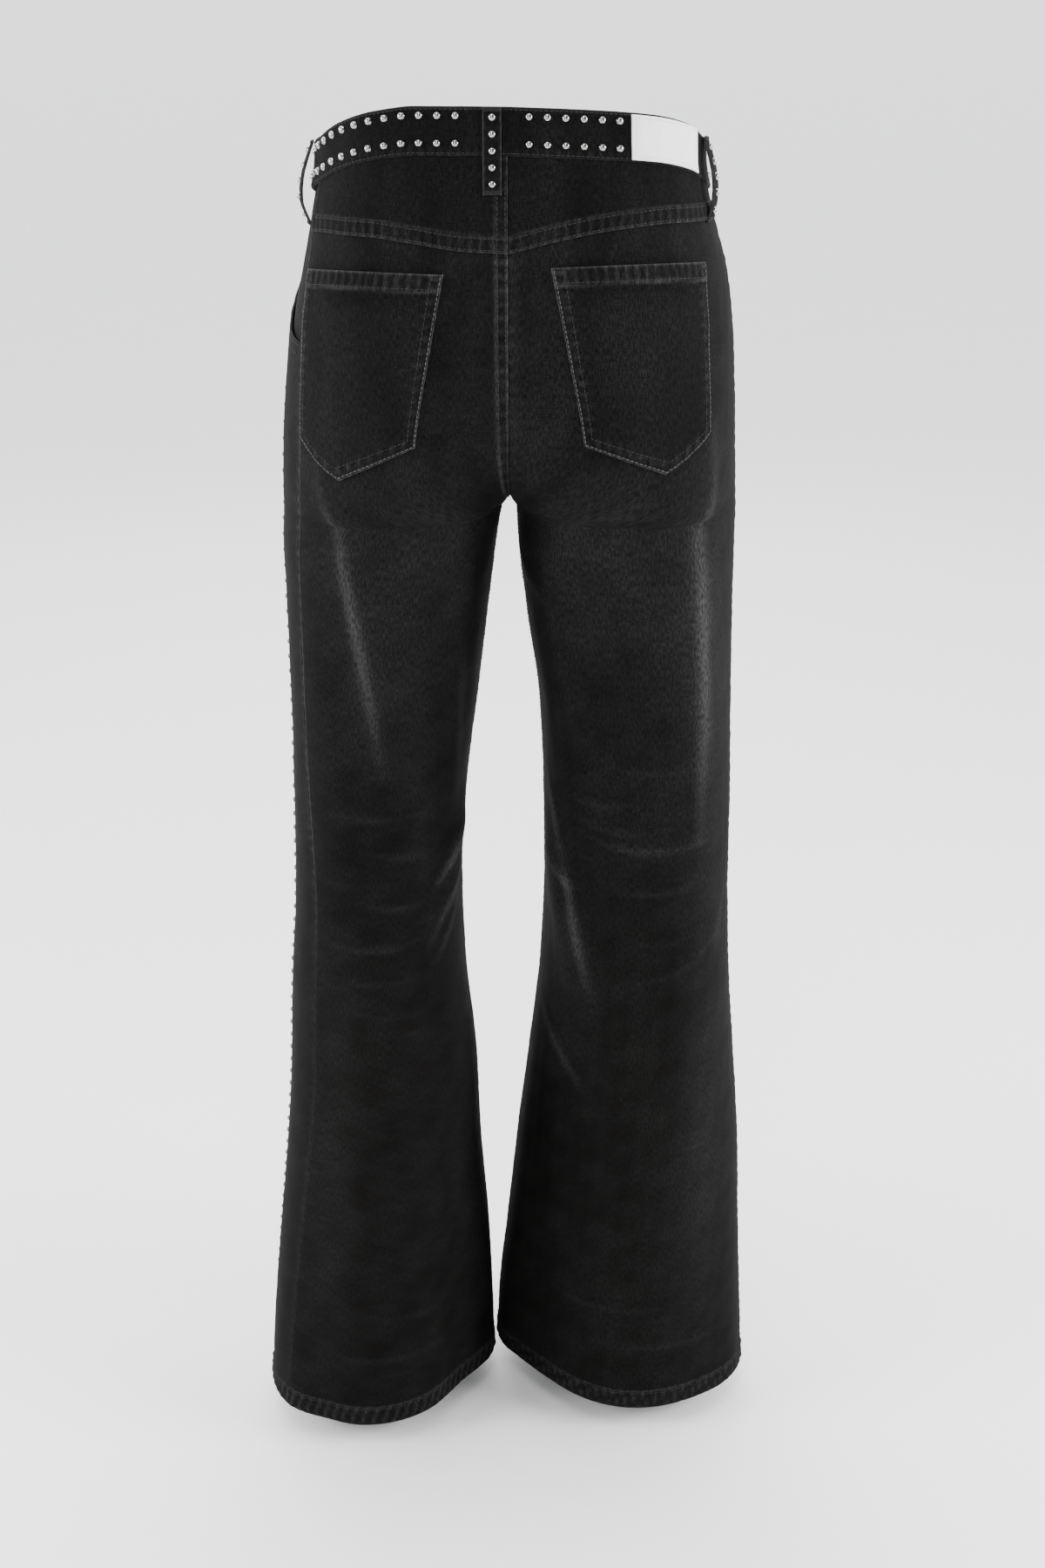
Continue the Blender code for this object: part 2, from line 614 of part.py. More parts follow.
def waistband(finish, collection):
    """The waistband, round from under the front's right end to over it, with its studs."""
    places = np.linspace(-2.0 - UNDERLAP, 2.0 + OVERLAP, BAND_COLUMNS)
    top = np.vectorize(lambda place: edge_height("top", place))(places)
    heights = np.array([top - BAND_HEIGHT * share for share in np.linspace(0, 1, BAND_ROWS)])
    rise = band_rise(places)
    grid = np.tile(places, (BAND_ROWS, 1))
    band = cloth_piece(
        "waistband", heights, grid, BAND_OUT + rise, rise - BAND_IN, finish, collection, parted=False
    )
    spots = []
    for at in stud_distances():
        place = place_at(at, 0.0)
        leg, around = side_of(place)
        for height in (
            edge_height("top", place) - STUD_TOP_INSET,
            band_bottom(place) + STUD_BOTTOM_INSET,
        ):
            spots.append(surface(leg, height, around, BAND_OUT + float(band_rise(place))))
    join_studs(band, spots)


def belt_loop(loop, finish, collection):
    """One belt loop: a strap on the waistband that stands clear of it between its two ends."""
    place = place_at(loop.at, 0.0)
    half = LOOP_WIDTH / 2
    shares = np.linspace(0.0, 1.0, LOOP_ROWS)
    top = edge_height("top", place) - SEAM_GAP
    down = top - LOOP_LENGTH * shares
    heights = np.repeat(down[:, None], 3, axis=1)
    places = np.array([
        [place_at(loop.at + aside, height) for aside in (-half, 0.0, half)] for height in down
    ])
    drop = BAND_OUT + float(band_rise(place)) - loop.ground
    lift = loop.ground + drop * (1.0 - smooth_step(shares, LOOP_LANDING, 1.0)) + LAID_GAP
    lift = (lift + loop.stand * np.sin(math.pi * shares))[:, None]
    strap = cloth_piece(
        loop.name, heights, places, lift + LOOP_THICKNESS, lift, finish, collection, parted=False
    )
    spots = []
    for share in np.linspace(LOOP_STUD_INSET, LOOP_LENGTH - LOOP_STUD_INSET, LOOP_STUDS) / LOOP_LENGTH:
        offset = float(np.interp(share, shares, lift[:, 0])) + LOOP_THICKNESS
        height = top - LOOP_LENGTH * share
        leg, around = side_of(place_at(loop.at, height))
        spots.append(surface(leg, height, around, offset))
    join_studs(strap, spots)


def waist_patch(finish, collection):
    """The plain leather patch sewn on the back of the waistband."""
    places = [place_at(-PATCH_START - PATCH_WIDTH * t, 0.0) for t in np.linspace(0, 1, PATCH_COLUMNS)]
    grid = np.tile(np.array(places), (PATCH_ROWS, 1))
    top = np.vectorize(lambda place: edge_height("top", place))(grid[0]) - PATCH_INSET
    shares = np.linspace(0, 1, PATCH_ROWS)[:, None]
    heights = top - (BAND_HEIGHT - 2 * PATCH_INSET) * shares
    inner = BAND_OUT + LAID_GAP
    cloth_piece("waist_patch", heights, grid, inner + PATCH_THICKNESS, inner, finish, collection)


def back_pocket(leg, name, corners, finish, collection):
    """A five-sided back pocket laid on its panel, pointed at the bottom."""
    top_in, top_out, low_out, tip, low_in = (np.array(corners[key]) for key in POCKET_CORNERS)
    tip_share = (tip[0] - low_in[0]) / (low_out[0] - low_in[0])
    across = np.concatenate((
        np.linspace(0.0, tip_share, POCKET_COLUMNS // 2 + 1),
        np.linspace(tip_share, 1.0, POCKET_COLUMNS // 2 + 1)[1:],
    ))
    down = np.linspace(0.0, 1.0, POCKET_ROWS)
    grid = np.empty((POCKET_ROWS, len(across), 2))
    for c, share in enumerate(across):
        upper = top_in + (top_out - top_in) * share
        upper[1] += POCKET_CROWN * math.sin(math.pi * share)
        if share <= tip_share:
            lower = low_in + (tip - low_in) * share / tip_share
        else:
            lower = tip + (low_out - tip) * (share - tip_share) / (1 - tip_share)
        for r, t in enumerate(down):
            grid[r, c] = upper + (lower - upper) * t
    places = np.array([[place_at(leg * at, height) for at, height in row] for row in grid])
    cloth_piece(name, grid[..., 1], places, POCKET_GAP + CLOTH, POCKET_GAP, finish, collection)


def waist_button(finish, collection):
    """The shank button on the waistband's overlapping end, a turned shape."""
    height = edge_height("top", 2.0) - BAND_HEIGHT / 2
    centre, normal = surface(LEFT, height, 2.0, BAND_OUT + BAND_STEP + LAID_GAP)
    profile = [(0.0, BUTTON_SHANK + BUTTON_HEAD)]
    profile += [
        (BUTTON_RADIUS * math.sin(turn), BUTTON_SHANK + BUTTON_HEAD * (0.35 + 0.65 * math.cos(turn)))
        for turn in np.radians((30, 60, 90))
    ]
    profile += [(BUTTON_RADIUS, BUTTON_SHANK), (BUTTON_SHANK_RADIUS, BUTTON_SHANK)]
    profile += [(BUTTON_SHANK_RADIUS, 0.0), (0.0, 0.0)]
    mesh = bpy.data.meshes.new("waist_button")
    mesh.from_pydata([(x, 0.0, z) for x, z in profile], [(i, i + 1) for i in range(len(profile) - 1)], [])
    button = add_object("waist_button", mesh, finish, collection)
    button.matrix_world = Matrix.Translation(Vector(centre)) @ (
        Vector(normal).to_track_quat("Z", "Y").to_matrix().to_4x4()
    )
    turned = button.modifiers.new("turned", "SCREW")
    turned.steps = turned.render_steps = 20
    turned.use_merge_vertices = True
    turned.merge_threshold = 0.00005
    turned.use_smooth_shade = True


def main():
    """Clears the scene and builds every piece."""
    for old in list(bpy.data.objects):
        bpy.data.objects.remove(old)
    pieces = bpy.data.collections.new(COLLECTION_NAME)
    guides = bpy.data.collections.new("guides")
    bpy.context.scene.collection.children.link(pieces)
    bpy.context.scene.collection.children.link(guides)
    denim = material("black_denim", (0.016, 0.016, 0.017), 0.85, 0.0)
    leather = material("white_leather", (0.80, 0.80, 0.81), 0.50, 0.0)
    metal = material("nickel", (0.62, 0.61, 0.59), 0.28, 1.0)
    for leg, word in ((LEFT, "left"), (RIGHT, "right")):
        back_panel(leg, "back_" + word, denim, pieces)
        front_panel(leg, "front_" + word, denim, pieces)
        yoke(leg, "yoke_" + word, denim, pieces)
        pocket_facing(leg, "pocket_facing_" + word, denim, pieces)
        back_pocket(leg, "pocket_back_" + word, POCKETS[word], denim, pieces)
    waistband(denim, pieces)
    for loop in LOOPS:
        belt_loop(loop, denim, pieces)
    waist_patch(leather, pieces)
    fly_shield(denim, pieces)
    waist_button(metal, pieces)


main()
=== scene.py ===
"""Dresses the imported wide-leg jeans: fine cloth, sewing, studs, leather, light and camera.

Lengths are in metres. The waist's centre is the origin, +Z is up, the front faces -Y and the
wearer's left is +X. Every cloth piece is laid on the same base surface as its solid. A place on it
is signed: 0 is the centre back or the inseam's back edge, 1 the left outseam, 2 the centre front,
and the wearer's right has the same places below zero.
"""

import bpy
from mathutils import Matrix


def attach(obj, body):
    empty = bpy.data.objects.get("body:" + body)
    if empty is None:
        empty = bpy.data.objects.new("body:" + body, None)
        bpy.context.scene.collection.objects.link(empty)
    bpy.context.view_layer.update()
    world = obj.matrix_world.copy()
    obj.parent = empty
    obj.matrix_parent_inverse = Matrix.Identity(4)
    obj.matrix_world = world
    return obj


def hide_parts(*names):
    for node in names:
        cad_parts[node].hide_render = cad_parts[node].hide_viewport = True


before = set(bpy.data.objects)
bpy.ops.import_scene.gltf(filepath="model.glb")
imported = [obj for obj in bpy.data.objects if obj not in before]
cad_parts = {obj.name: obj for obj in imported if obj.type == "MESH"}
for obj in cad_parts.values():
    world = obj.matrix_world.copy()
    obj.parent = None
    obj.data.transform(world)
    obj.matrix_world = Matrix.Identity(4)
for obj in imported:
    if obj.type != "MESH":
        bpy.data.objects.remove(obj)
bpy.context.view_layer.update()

import logging
import math
from collections.abc import Callable, Sequence
from dataclasses import dataclass, field
from enum import Enum

import bpy
import numpy as np
from mathutils import Matrix, Vector

LOG = logging.getLogger("jeans")
BODY = "root"
TAU = 2.0 * math.pi
Array = np.ndarray
Value = "float | Socket"


class Leg(Enum):
    """The wearer's two legs, each with the sign of its places and of X."""

    LEFT = 1
    RIGHT = -1

    @property
    def word(self) -> str:
        """The leg's name as its nodes have it."""
        return self.name.lower()


class Face(Enum):
    """The back and the front half of a leg, each with the place around where it begins."""

    BACK = 0
    FRONT = 1


# Sizes shared with the solids
CLOTH = 0.0016
LAID_GAP = 0.0003
POCKET_GAP = 0.0008
FACING_GAP = 0.0009
CROTCH_HEIGHT = -0.236
HEM_HEIGHT = -1.040
HEM_FOLD = 0.019
BAND_HEIGHT = 0.030
BAND_OUT = 0.0010
BAND_IN = 0.0020
BAND_STEP_START = 1.70
BAND_STEP_STOP = 1.88
LEVEL_HEIGHT = -0.10
SCOOP_BOTTOM = -0.118
SCOOP_REACH = 0.42
FLY_BOTTOM = -0.135

# Sizes that only the dressed pieces have: the gap at a seam, how far the yokes' and the fronts' tops
# reach into the waistband, and how near the centre plane an edge is before it is drawn to the rise
SEAM_GAP = 0.00004
SEAM_TUCK = 0.0002
RISE_REACH = 0.001

# Sections and edges shared with the solids
SECTION_COLUMNS = (
    "height", "left_inner", "left_outer", "right_inner", "right_outer", "back", "front",
    "left_shift", "right_shift", "left_seam", "right_seam",
)
SECTIONS = (
    (0.045, 0.0000, 0.1310, 0.0000, 0.1340, 0.1030, 0.0980, 0.000, 0.000, 24, 16),
    (0.000, 0.0000, 0.1325, 0.0000, 0.1350, 0.1060, 0.0995, 0.000, 0.000, 24, 16),
    (-0.035, 0.0000, 0.1385, 0.0000, 0.1420, 0.1110, 0.1020, 0.000, 0.000, 26, 15),
    (-0.074, 0.0000, 0.1468, 0.0000, 0.1530, 0.1170, 0.1035, 0.000, 0.000, 30, 14),
    (-0.104, 0.0000, 0.1535, 0.0000, 0.1575, 0.1205, 0.1045, 0.000, 0.000, 34, 13),
    (-0.135, 0.0000, 0.1578, 0.0000, 0.1600, 0.1230, 0.1050, 0.000, 0.000, 38, 12),
    (-0.198, 0.0000, 0.1640, 0.0000, 0.1635, 0.1220, 0.1045, 0.000, 0.000, 43, 10),
    (-0.236, 0.0002, 0.1655, 0.0002, 0.1655, 0.1180, 0.1030, 0.000, 0.000, 43, 8),
    (-0.2375, 0.0036, 0.1655, 0.0036, 0.1656, 0.1178, 0.1029, 0.000, 0.000, 43, 8),
    (-0.241, 0.0046, 0.1657, 0.0046, 0.1658, 0.1172, 0.1028, 0.000, 0.000, 43, 8),
    (-0.250, 0.0062, 0.1664, 0.0054, 0.1661, 0.1162, 0.1022, 0.000, 0.000, 43, 8),
    (-0.263, 0.0085, 0.1672, 0.0060, 0.1662, 0.1150, 0.1015, 0.001, 0.000, 43, 7),
    (-0.332, 0.0175, 0.1672, 0.0135, 0.1678, 0.1060, 0.0975, 0.003, -0.001, 43, 5),
    (-0.402, 0.0262, 0.1675, 0.0232, 0.1700, 0.0980, 0.0945, 0.005, -0.002, 43, 4),
    (-0.476, 0.0352, 0.1692, 0.0265, 0.1728, 0.0920, 0.0920, 0.005, -0.003, 47, 4),
    (-0.553, 0.0395, 0.1718, 0.0275, 0.1745, 0.0885, 0.0900, 0.006, -0.004, 51, 4),
    (-0.632, 0.0372, 0.1781, 0.0245, 0.1787, 0.0870, 0.0885, 0.006, -0.005, 51, 4),
    (-0.716, 0.0296, 0.1829, 0.0160, 0.1868, 0.0865, 0.0875, 0.006, -0.007, 48, 4),
    (-0.802, 0.0265, 0.1908, 0.0063, 0.1946, 0.0865, 0.0870, 0.006, -0.009, 44, 4),
    (-0.893, 0.0206, 0.2015, -0.0025, 0.1996, 0.0870, 0.0870, 0.005, -0.012, 40, 4),
    (-0.988, 0.0173, 0.2110, -0.0115, 0.2055, 0.0880, 0.0875, 0.004, -0.014, 37, 4),
    (-1.045, 0.0165, 0.2150, -0.0135, 0.2085, 0.0885, 0.0880, 0.004, -0.016, 36, 4),
)
PELVIS_MIDDLES = (
    (0.045, 0.026), (0.000, 0.030), (-0.050, 0.045), (-0.100, 0.060),
    (-0.150, 0.072), (-0.200, 0.080), (-0.236, 0.08335),
)
RISE_COLUMNS = ("height", "back", "front")
RISE = (
    (0.045, 0.1030, 0.0980), (0.000, 0.1060, 0.0995), (-0.050, 0.1125, 0.1020),
    (-0.100, 0.1170, 0.1030), (-0.140, 0.1165, 0.1010), (-0.170, 0.1110, 0.0960),
    (-0.192, 0.1010, 0.0880), (-0.208, 0.0870, 0.0760), (-0.220, 0.0690, 0.0590),
    (-0.229, 0.0480, 0.0390), (-0.234, 0.0260, 0.0200), (-0.236, 0.0010, 0.0010),
)
SQUARENESS = 2.35
SHAPE_COLUMNS = ("height", "squareness", "skew")
SHAPES = (
    (0.045, SQUARENESS, 0.000), (-0.300, SQUARENESS, 0.000), (-0.550, 2.20, 0.004),
    (-0.800, 2.06, 0.010), (-1.045, 2.00, 0.015),
)
EDGE_COLUMNS = ("around", "left_top", "right_top", "left_seam", "right_seam")
EDGES = (
    (0.0, 0.0350, 0.0350, -0.0494, -0.0494),
    (0.2, 0.0353, 0.0339, -0.0476, -0.0407),
    (0.4, 0.0353, 0.0322, -0.0429, -0.0346),
    (0.6, 0.0317, 0.0291, -0.0398, -0.0324),
    (0.8, 0.0243, 0.0224, -0.0398, -0.0336),
    (1.0, 0.0140, 0.0112, -0.0411, -0.0346),
    (1.3, 0.0008, 0.0000, -0.0411, -0.0346),
    (1.7, -0.0180, -0.0180, -0.0411, -0.0346),
    (2.0, -0.0230, -0.0230, -0.0411, -0.0346),
)


@dataclass(frozen=True)
class Fold:
    """A ridge in the cloth, or a trough where its ridge is negative, along a line."""

    leg: Leg
    top_height: float
    top_around: float
    bottom_height: float
    bottom_around: float
    half_width: float
    ridge: float
    sag: float = 0.0


FOLDS = (
    Fold(Leg.LEFT, -0.200, 0.83, -0.430, 0.62, 0.024, 0.0040),
    Fold(Leg.RIGHT, -0.200, 0.62, -0.430, 0.70, 0.026, 0.0040),
    Fold(Leg.LEFT, -0.480, 0.13, -0.570, 0.38, 0.022, 0.0045),
    Fold(Leg.RIGHT, -0.500, 0.12, -0.640, 0.36, 0.022, 0.0045),
    Fold(Leg.LEFT, -0.560, 0.31, -0.545, 0.83, 0.020, -0.0030),
    Fold(Leg.RIGHT, -0.545, 0.30, -0.560, 0.80, 0.020, -0.0030),
    Fold(Leg.LEFT, -0.720, 0.26, -1.250, 0.25, 0.045, -0.0115),
    Fold(Leg.LEFT, -0.620, 0.86, -1.250, 0.84, 0.030, -0.0050),
    Fold(Leg.RIGHT, -0.700, 0.27, -1.250, 0.20, 0.050, -0.0120),
    Fold(Leg.RIGHT, -0.700, 0.80, -1.250, 0.76, 0.045, -0.0070),
    Fold(Leg.LEFT, -0.250, 1.79, -0.420, 1.54, 0.026, 0.0040),
    Fold(Leg.RIGHT, -0.250, 1.78, -0.420, 1.52, 0.026, 0.0040),
    Fold(Leg.LEFT, -0.700, 1.53, -1.030, 1.51, 0.034, 0.0045),
    Fold(Leg.RIGHT, -0.700, 1.52, -1.030, 1.50, 0.034, 0.0045),
)

# Small creases that only the dressed cloth has
CREASES = (
    Fold(Leg.LEFT, -0.200, 0.855, -0.425, 0.66, 0.007, 0.0016),
    Fold(Leg.LEFT, -0.334, 0.36, -0.441, 0.29, 0.008, 0.0009),
    Fold(Leg.LEFT, -0.488, 0.13, -0.532, 0.41, 0.006, 0.0017),
    Fold(Leg.LEFT, -0.512, 0.14, -0.582, 0.45, 0.006, 0.0013),
    Fold(Leg.LEFT, -0.560, 0.20, -0.600, 0.43, 0.006, 0.0010),
    Fold(Leg.LEFT, -0.458, 0.93, -0.462, 0.52, 0.0035, 0.0007, 0.004),
    Fold(Leg.LEFT, -0.488, 0.78, -0.498, 0.42, 0.0035, 0.0007, 0.004),
    Fold(Leg.LEFT, -0.517, 0.94, -0.518, 0.74, 0.0030, 0.0006, 0.003),
    Fold(Leg.LEFT, -0.534, 0.82, -0.542, 0.41, 0.0035, 0.0007, 0.004),
    Fold(Leg.LEFT, -0.571, 0.94, -0.573, 0.46, 0.0035, 0.0008, 0.004),
    Fold(Leg.LEFT, -0.601, 0.90, -0.604, 0.47, 0.0035, 0.0006, 0.004),
    Fold(Leg.LEFT, -0.629, 0.86, -0.636, 0.42, 0.0035, 0.0005, 0.004),
    Fold(Leg.LEFT, -0.650, 0.74, -0.653, 0.45, 0.0030, 0.0005, 0.003),
    Fold(Leg.LEFT, -0.930, 0.30, -0.925, 0.72, 0.0040, 0.0005, 0.003),
    Fold(Leg.LEFT, -0.970, 0.34, -0.968, 0.90, 0.0040, 0.0006, 0.003),
    Fold(Leg.RIGHT, -0.170, 0.69, -0.490, 0.70, 0.008, 0.0016),
    Fold(Leg.RIGHT, -0.270, 0.05, -0.304, 0.28, 0.007, 0.0010),
    Fold(Leg.RIGHT, -0.320, 0.20, -0.422, 0.17, 0.010, 0.0008),
    Fold(Leg.RIGHT, -0.455, 0.15, -0.508, 0.23, 0.006, 0.0015),
    Fold(Leg.RIGHT, -0.508, 0.23, -0.630, 0.37, 0.006, 0.0015),
    Fold(Leg.RIGHT, -0.515, 0.10, -0.538, 0.28, 0.005, 0.0011),
    Fold(Leg.RIGHT, -0.660, 0.10, -0.725, 0.36, 0.006, 0.0011),
    Fold(Leg.RIGHT, -0.424, 0.42, -0.428, 0.64, 0.0035, 0.0006, 0.002),
    Fold(Leg.RIGHT, -0.456, 0.25, -0.453, 0.54, 0.0035, 0.0007, 0.004),
    Fold(Leg.RIGHT, -0.470, 0.28, -0.480, 0.57, 0.0035, 0.0007, 0.004),
    Fold(Leg.RIGHT, -0.483, 0.31, -0.490, 0.73, 0.0035, 0.0009, 0.008),
    Fold(Leg.RIGHT, -0.530, 0.43, -0.524, 0.72, 0.0035, 0.0007, 0.005),
    Fold(Leg.RIGHT, -0.575, 0.46, -0.568, 0.74, 0.0035, 0.0005, 0.005),
    Fold(Leg.RIGHT, -0.611, 0.48, -0.580, 0.78, 0.0040, 0.0008, 0.008),
    Fold(Leg.RIGHT, -0.550, 0.85, -0.592, 0.79, 0.007, 0.0009),
    Fold(Leg.RIGHT, -0.935, 0.20, -0.930, 0.70, 0.0040, 0.0006, 0.003),
    Fold(Leg.RIGHT, -0.970, 0.40, -0.972, 0.90, 0.0040, 0.0006, 0.003),
)

# Line of side studs: heights, and metres in front of the outseam
SIDE_STUDS = (
    (-1.020, 0.064), (-0.900, 0.066), (-0.790, 0.063), (-0.600, 0.067), (-0.450, 0.060),
    (-0.350, 0.064), (-0.250, 0.076), (-0.150, 0.086),
)

# Lighter areas, partly washed-out cloth and partly painted highlights, whose ridge is how much lighter they
# paint the cloth
FADES_AND_HIGHLIGHTS = (
    Fold(Leg.LEFT, -0.170, 0.62, -0.330, 0.52, 0.065, 0.05),
    Fold(Leg.LEFT, -0.480, 0.22, -0.980, 0.20, 0.030, 0.08),
    Fold(Leg.LEFT, -0.560, 0.90, -0.980, 0.88, 0.028, 0.06),
    Fold(Leg.LEFT, -0.150, 1.50, -0.520, 1.48, 0.070, 0.12),
    Fold(Leg.RIGHT, -0.170, 0.45, -0.360, 0.50, 0.080, 0.05),
    Fold(Leg.RIGHT, -0.180, 0.72, -0.560, 0.76, 0.022, 0.06),
    Fold(Leg.RIGHT, -0.420, 0.15, -0.700, 0.24, 0.022, 0.09),
    Fold(Leg.RIGHT, -0.560, 0.78, -0.980, 0.74, 0.030, 0.07),
    Fold(Leg.RIGHT, -0.150, 1.50, -0.520, 1.48, 0.070, 0.12),
)


# Shape of the body that the cloth lies on


class Curve:
    """A smooth curve through the rows of a short table, which never overshoots them."""

    def __init__(self, rows: Sequence[Sequence[float]], column: int = 1) -> None:
        """Works out the curve's slopes.

        Args:
            rows: The table, whose first column is the place along the curve.
            column: The index of the column that the curve follows.
        """
        ordered = sorted(rows)
        self.at = np.array([row[0] for row in ordered])
        self.values = np.array([row[column] for row in ordered])
        self.widths = np.diff(self.at)
        slopes = np.diff(self.values) / self.widths
        before = 2.0 * self.widths[1:] + self.widths[:-1]
        after = self.widths[1:] + 2.0 * self.widths[:-1]
        same = slopes[:-1] * slopes[1:] > 0.0
        first = np.where(same, slopes[:-1], 1.0)
        second = np.where(same, slopes[1:], 1.0)
        middle = np.where(same, (before + after) / (before / first + after / second), 0.0)
        self.tangents = np.concatenate(([slopes[0]], middle, [slopes[-1]]))

    def __call__(self, at: Array | float) -> Array:
        """Reads the curve.

        Args:
            at: Places along the curve, held to the table's range.

        Returns:
            The curve's value at each place.
        """
        at = np.clip(at, self.at[0], self.at[-1])
        i = np.clip(np.searchsorted(self.at, at, side="right") - 1, 0, len(self.widths) - 1)
        t = (at - self.at[i]) / self.widths[i]
        return (
            self.values[i] * (1 + 2 * t) * (1 - t) ** 2
            + self.tangents[i] * self.widths[i] * t * (1 - t) ** 2
            + self.values[i + 1] * t * t * (3 - 2 * t)
            + self.tangents[i + 1] * self.widths[i] * t * t * (t - 1)
        )


def smooth_step(value: Array | float, start: float, stop: float) -> Array:
    """0 before start, 1 after stop, smooth between."""
    share = np.clip((np.asarray(value, float) - start) / (stop - start), 0.0, 1.0)
    return share * share * (3.0 - 2.0 * share)


def bell(distance: Array | float, reach: float) -> Array:
    """1 at no distance, fading to nothing at about two reaches."""
    return np.exp(-((np.asarray(distance, float) / reach) ** 2))


def wobble(value: Array | float, seed: float) -> Array:
    """An uneven wave between about -1 and 1."""
    value = np.asarray(value, float)
    waves = np.sin(value + seed) + 0.6 * np.sin(1.73 * value + 2.1 * seed)
    return (waves + 0.4 * np.sin(2.91 * value + 3.7 * seed)) / 2.0


def ribs(along: Array, pitch: float, seed: float) -> Array:
    """Uneven pucker ribs along a seam.

    Args:
        along: Metres along the seam.
        pitch: Metres from one rib to the next, on average.
        seed: Sets this seam's ribs apart from other seams' ribs.

    Returns:
        The ribs' height, between about -1 and 1.
    """
    phase = TAU * along / pitch + 1.5 * wobble(along * 60.0, seed)
    return np.sin(phase) * (0.7 + 0.3 * wobble(along * 95.0, seed + 1.7))


def crumple(across: Array, down: Array, seed: float) -> Array:
    """Soft unevenness of used cloth, between about -1 and 1.

    Args:
        across: Metres around the leg.
        down: Heights in metres.
        seed: Sets this piece apart from others.

    Returns:
        The unevenness at each place.
    """
    total = np.zeros(np.broadcast(across, down).shape)
    for i in range(7):
        turn = 2.4 * i + seed
        length = 0.016 + 0.007 * i
        total += np.sin(TAU * (across * math.cos(turn) + down * math.sin(turn)) / length + 3.1 * turn)
    return total / 4.0


@dataclass
class BodySurface:
    """The base surface that every cloth piece is laid on, read from tables of its sections."""

    ring_steps: int = 96
    lowest: float = -1.050
    highest: float = 0.050
    level_step: float = 0.001
    place_count: int = 401
    reach_up: float = 0.003
    reach_around: float = 0.02
    fold_scale: float = 0.27
    fold_end: float = 0.35
    fold_edge: float = 0.12
    tables: dict[Leg, Array] = field(init=False)
    lengths: dict[Leg, Array] = field(init=False)

    def __post_init__(self) -> None:
        """Makes the table of points and of half rings' lengths for each leg."""
        self.sections = {
            name: Curve(SECTIONS, i) for i, name in enumerate(SECTION_COLUMNS) if i
        }
        self.middles = Curve(PELVIS_MIDDLES)
        self.shapes = {name: Curve(SHAPES, i) for i, name in enumerate(SHAPE_COLUMNS) if i}
        self.rise = {name: Curve(RISE, i) for i, name in enumerate(RISE_COLUMNS) if i}
        self.edges = {name: Curve(EDGES, i) for i, name in enumerate(EDGE_COLUMNS) if i}
        count = round((self.highest - self.lowest) / self.level_step) + 1
        levels = np.round(np.linspace(self.lowest, self.highest, count), 6)
        self.tables, self.lengths = {}, {}
        for leg in Leg:
            rings = [self.ring(leg, float(level)) for level in levels]
            self.tables[leg] = np.array([points for points, _ in rings])
            self.lengths[leg] = np.array([lengths for _, lengths in rings])

    def inner_reach(self, middle: float, rise: float, depth: float) -> float:
        """Half width that makes a section's inner side cross the centre plane on the rise seam."""
        share = min(max(rise / depth, 0.0), 0.9995)
        return middle / (1.0 - share**SQUARENESS) ** (1.0 / SQUARENESS)

    def ring(self, leg: Leg, height: float) -> tuple[Array, tuple[float, float]]:
        """One leg's section at a height.

        Args:
            leg: The leg.
            height: The section's height.

        Returns:
            Points at even steps around from 0 to 2, and the back and front halves' lengths.
        """
        size = {name: float(curve(height)) for name, curve in self.sections.items()}
        outer, inner = size[leg.word + "_outer"], size[leg.word + "_inner"]
        back, front = size["back"], size["front"]
        power = 2.0 / float(self.shapes["squareness"](height))
        if height >= CROTCH_HEIGHT:
            middle = float(self.middles(height))
            reach_back = self.inner_reach(middle, float(self.rise["back"](height)), back)
            reach_front = self.inner_reach(middle, float(self.rise["front"](height)), front)
            start = math.pi - math.acos((middle / reach_back) ** (1 / power))
            stop = -math.pi + math.acos((middle / reach_front) ** (1 / power))
        else:
            middle = (inner + outer) / 2.0
            reach_back = reach_front = middle - inner
            start, stop = math.pi, -math.pi
        half = self.ring_steps // 2
        seam = math.radians(size[leg.word + "_seam"])
        turns = np.concatenate((
            np.linspace(start, seam, half + 1), np.linspace(seam, stop, half + 1)[1:],
        ))
        across, along = np.cos(turns), np.sin(turns)
        reach = np.where(across >= 0, outer - middle, np.where(along >= 0, reach_back, reach_front))
        x = middle + reach * np.sign(across) * np.abs(across) ** power
        y = np.where(along >= 0, back, front) * np.sign(along) * np.abs(along) ** power
        if height >= CROTCH_HEIGHT:
            x[0] = x[-1] = 0.0
        skew = float(self.shapes["skew"](height))
        y = y + skew * (x - middle) / (outer - middle) + size[leg.word + "_shift"]
        steps = np.concatenate(([0.0], np.cumsum(np.hypot(np.diff(x), np.diff(y)))))
        at_seam, whole = steps[half], steps[-1]
        around = np.where(
            steps <= at_seam, steps / at_seam, 1 + (steps - at_seam) / (whole - at_seam)
        )
        even = np.linspace(0.0, 2.0, self.place_count)
        points = np.stack((np.interp(even, around, leg.value * x), np.interp(even, around, y)), axis=1)
        return points, (float(at_seam), float(whole - at_seam))

    def read(self, leg: Leg, heights: Array, arounds: Array) -> Array:
        """Reads one leg's table of points.

        Args:
            leg: The leg.
            heights: Heights, an array.
            arounds: Places around from 0 to 2, an array of the same shape.

        Returns:
            X and Y of the smooth surface at each place.
        """
        table = self.tables[leg]
        row = np.clip((heights - self.lowest) / self.level_step, 0.0, len(table) - 1.001)
        col = np.clip(arounds / 2.0 * (self.place_count - 1), 0.0, self.place_count - 1.001)
        i, j = row.astype(int), col.astype(int)
        t, s = (row - i)[..., None], (col - j)[..., None]
        upper = table[i, j] * (1 - s) + table[i, j + 1] * s
        lower = table[i + 1, j] * (1 - s) + table[i + 1, j + 1] * s
        return upper * (1 - t) + lower * t

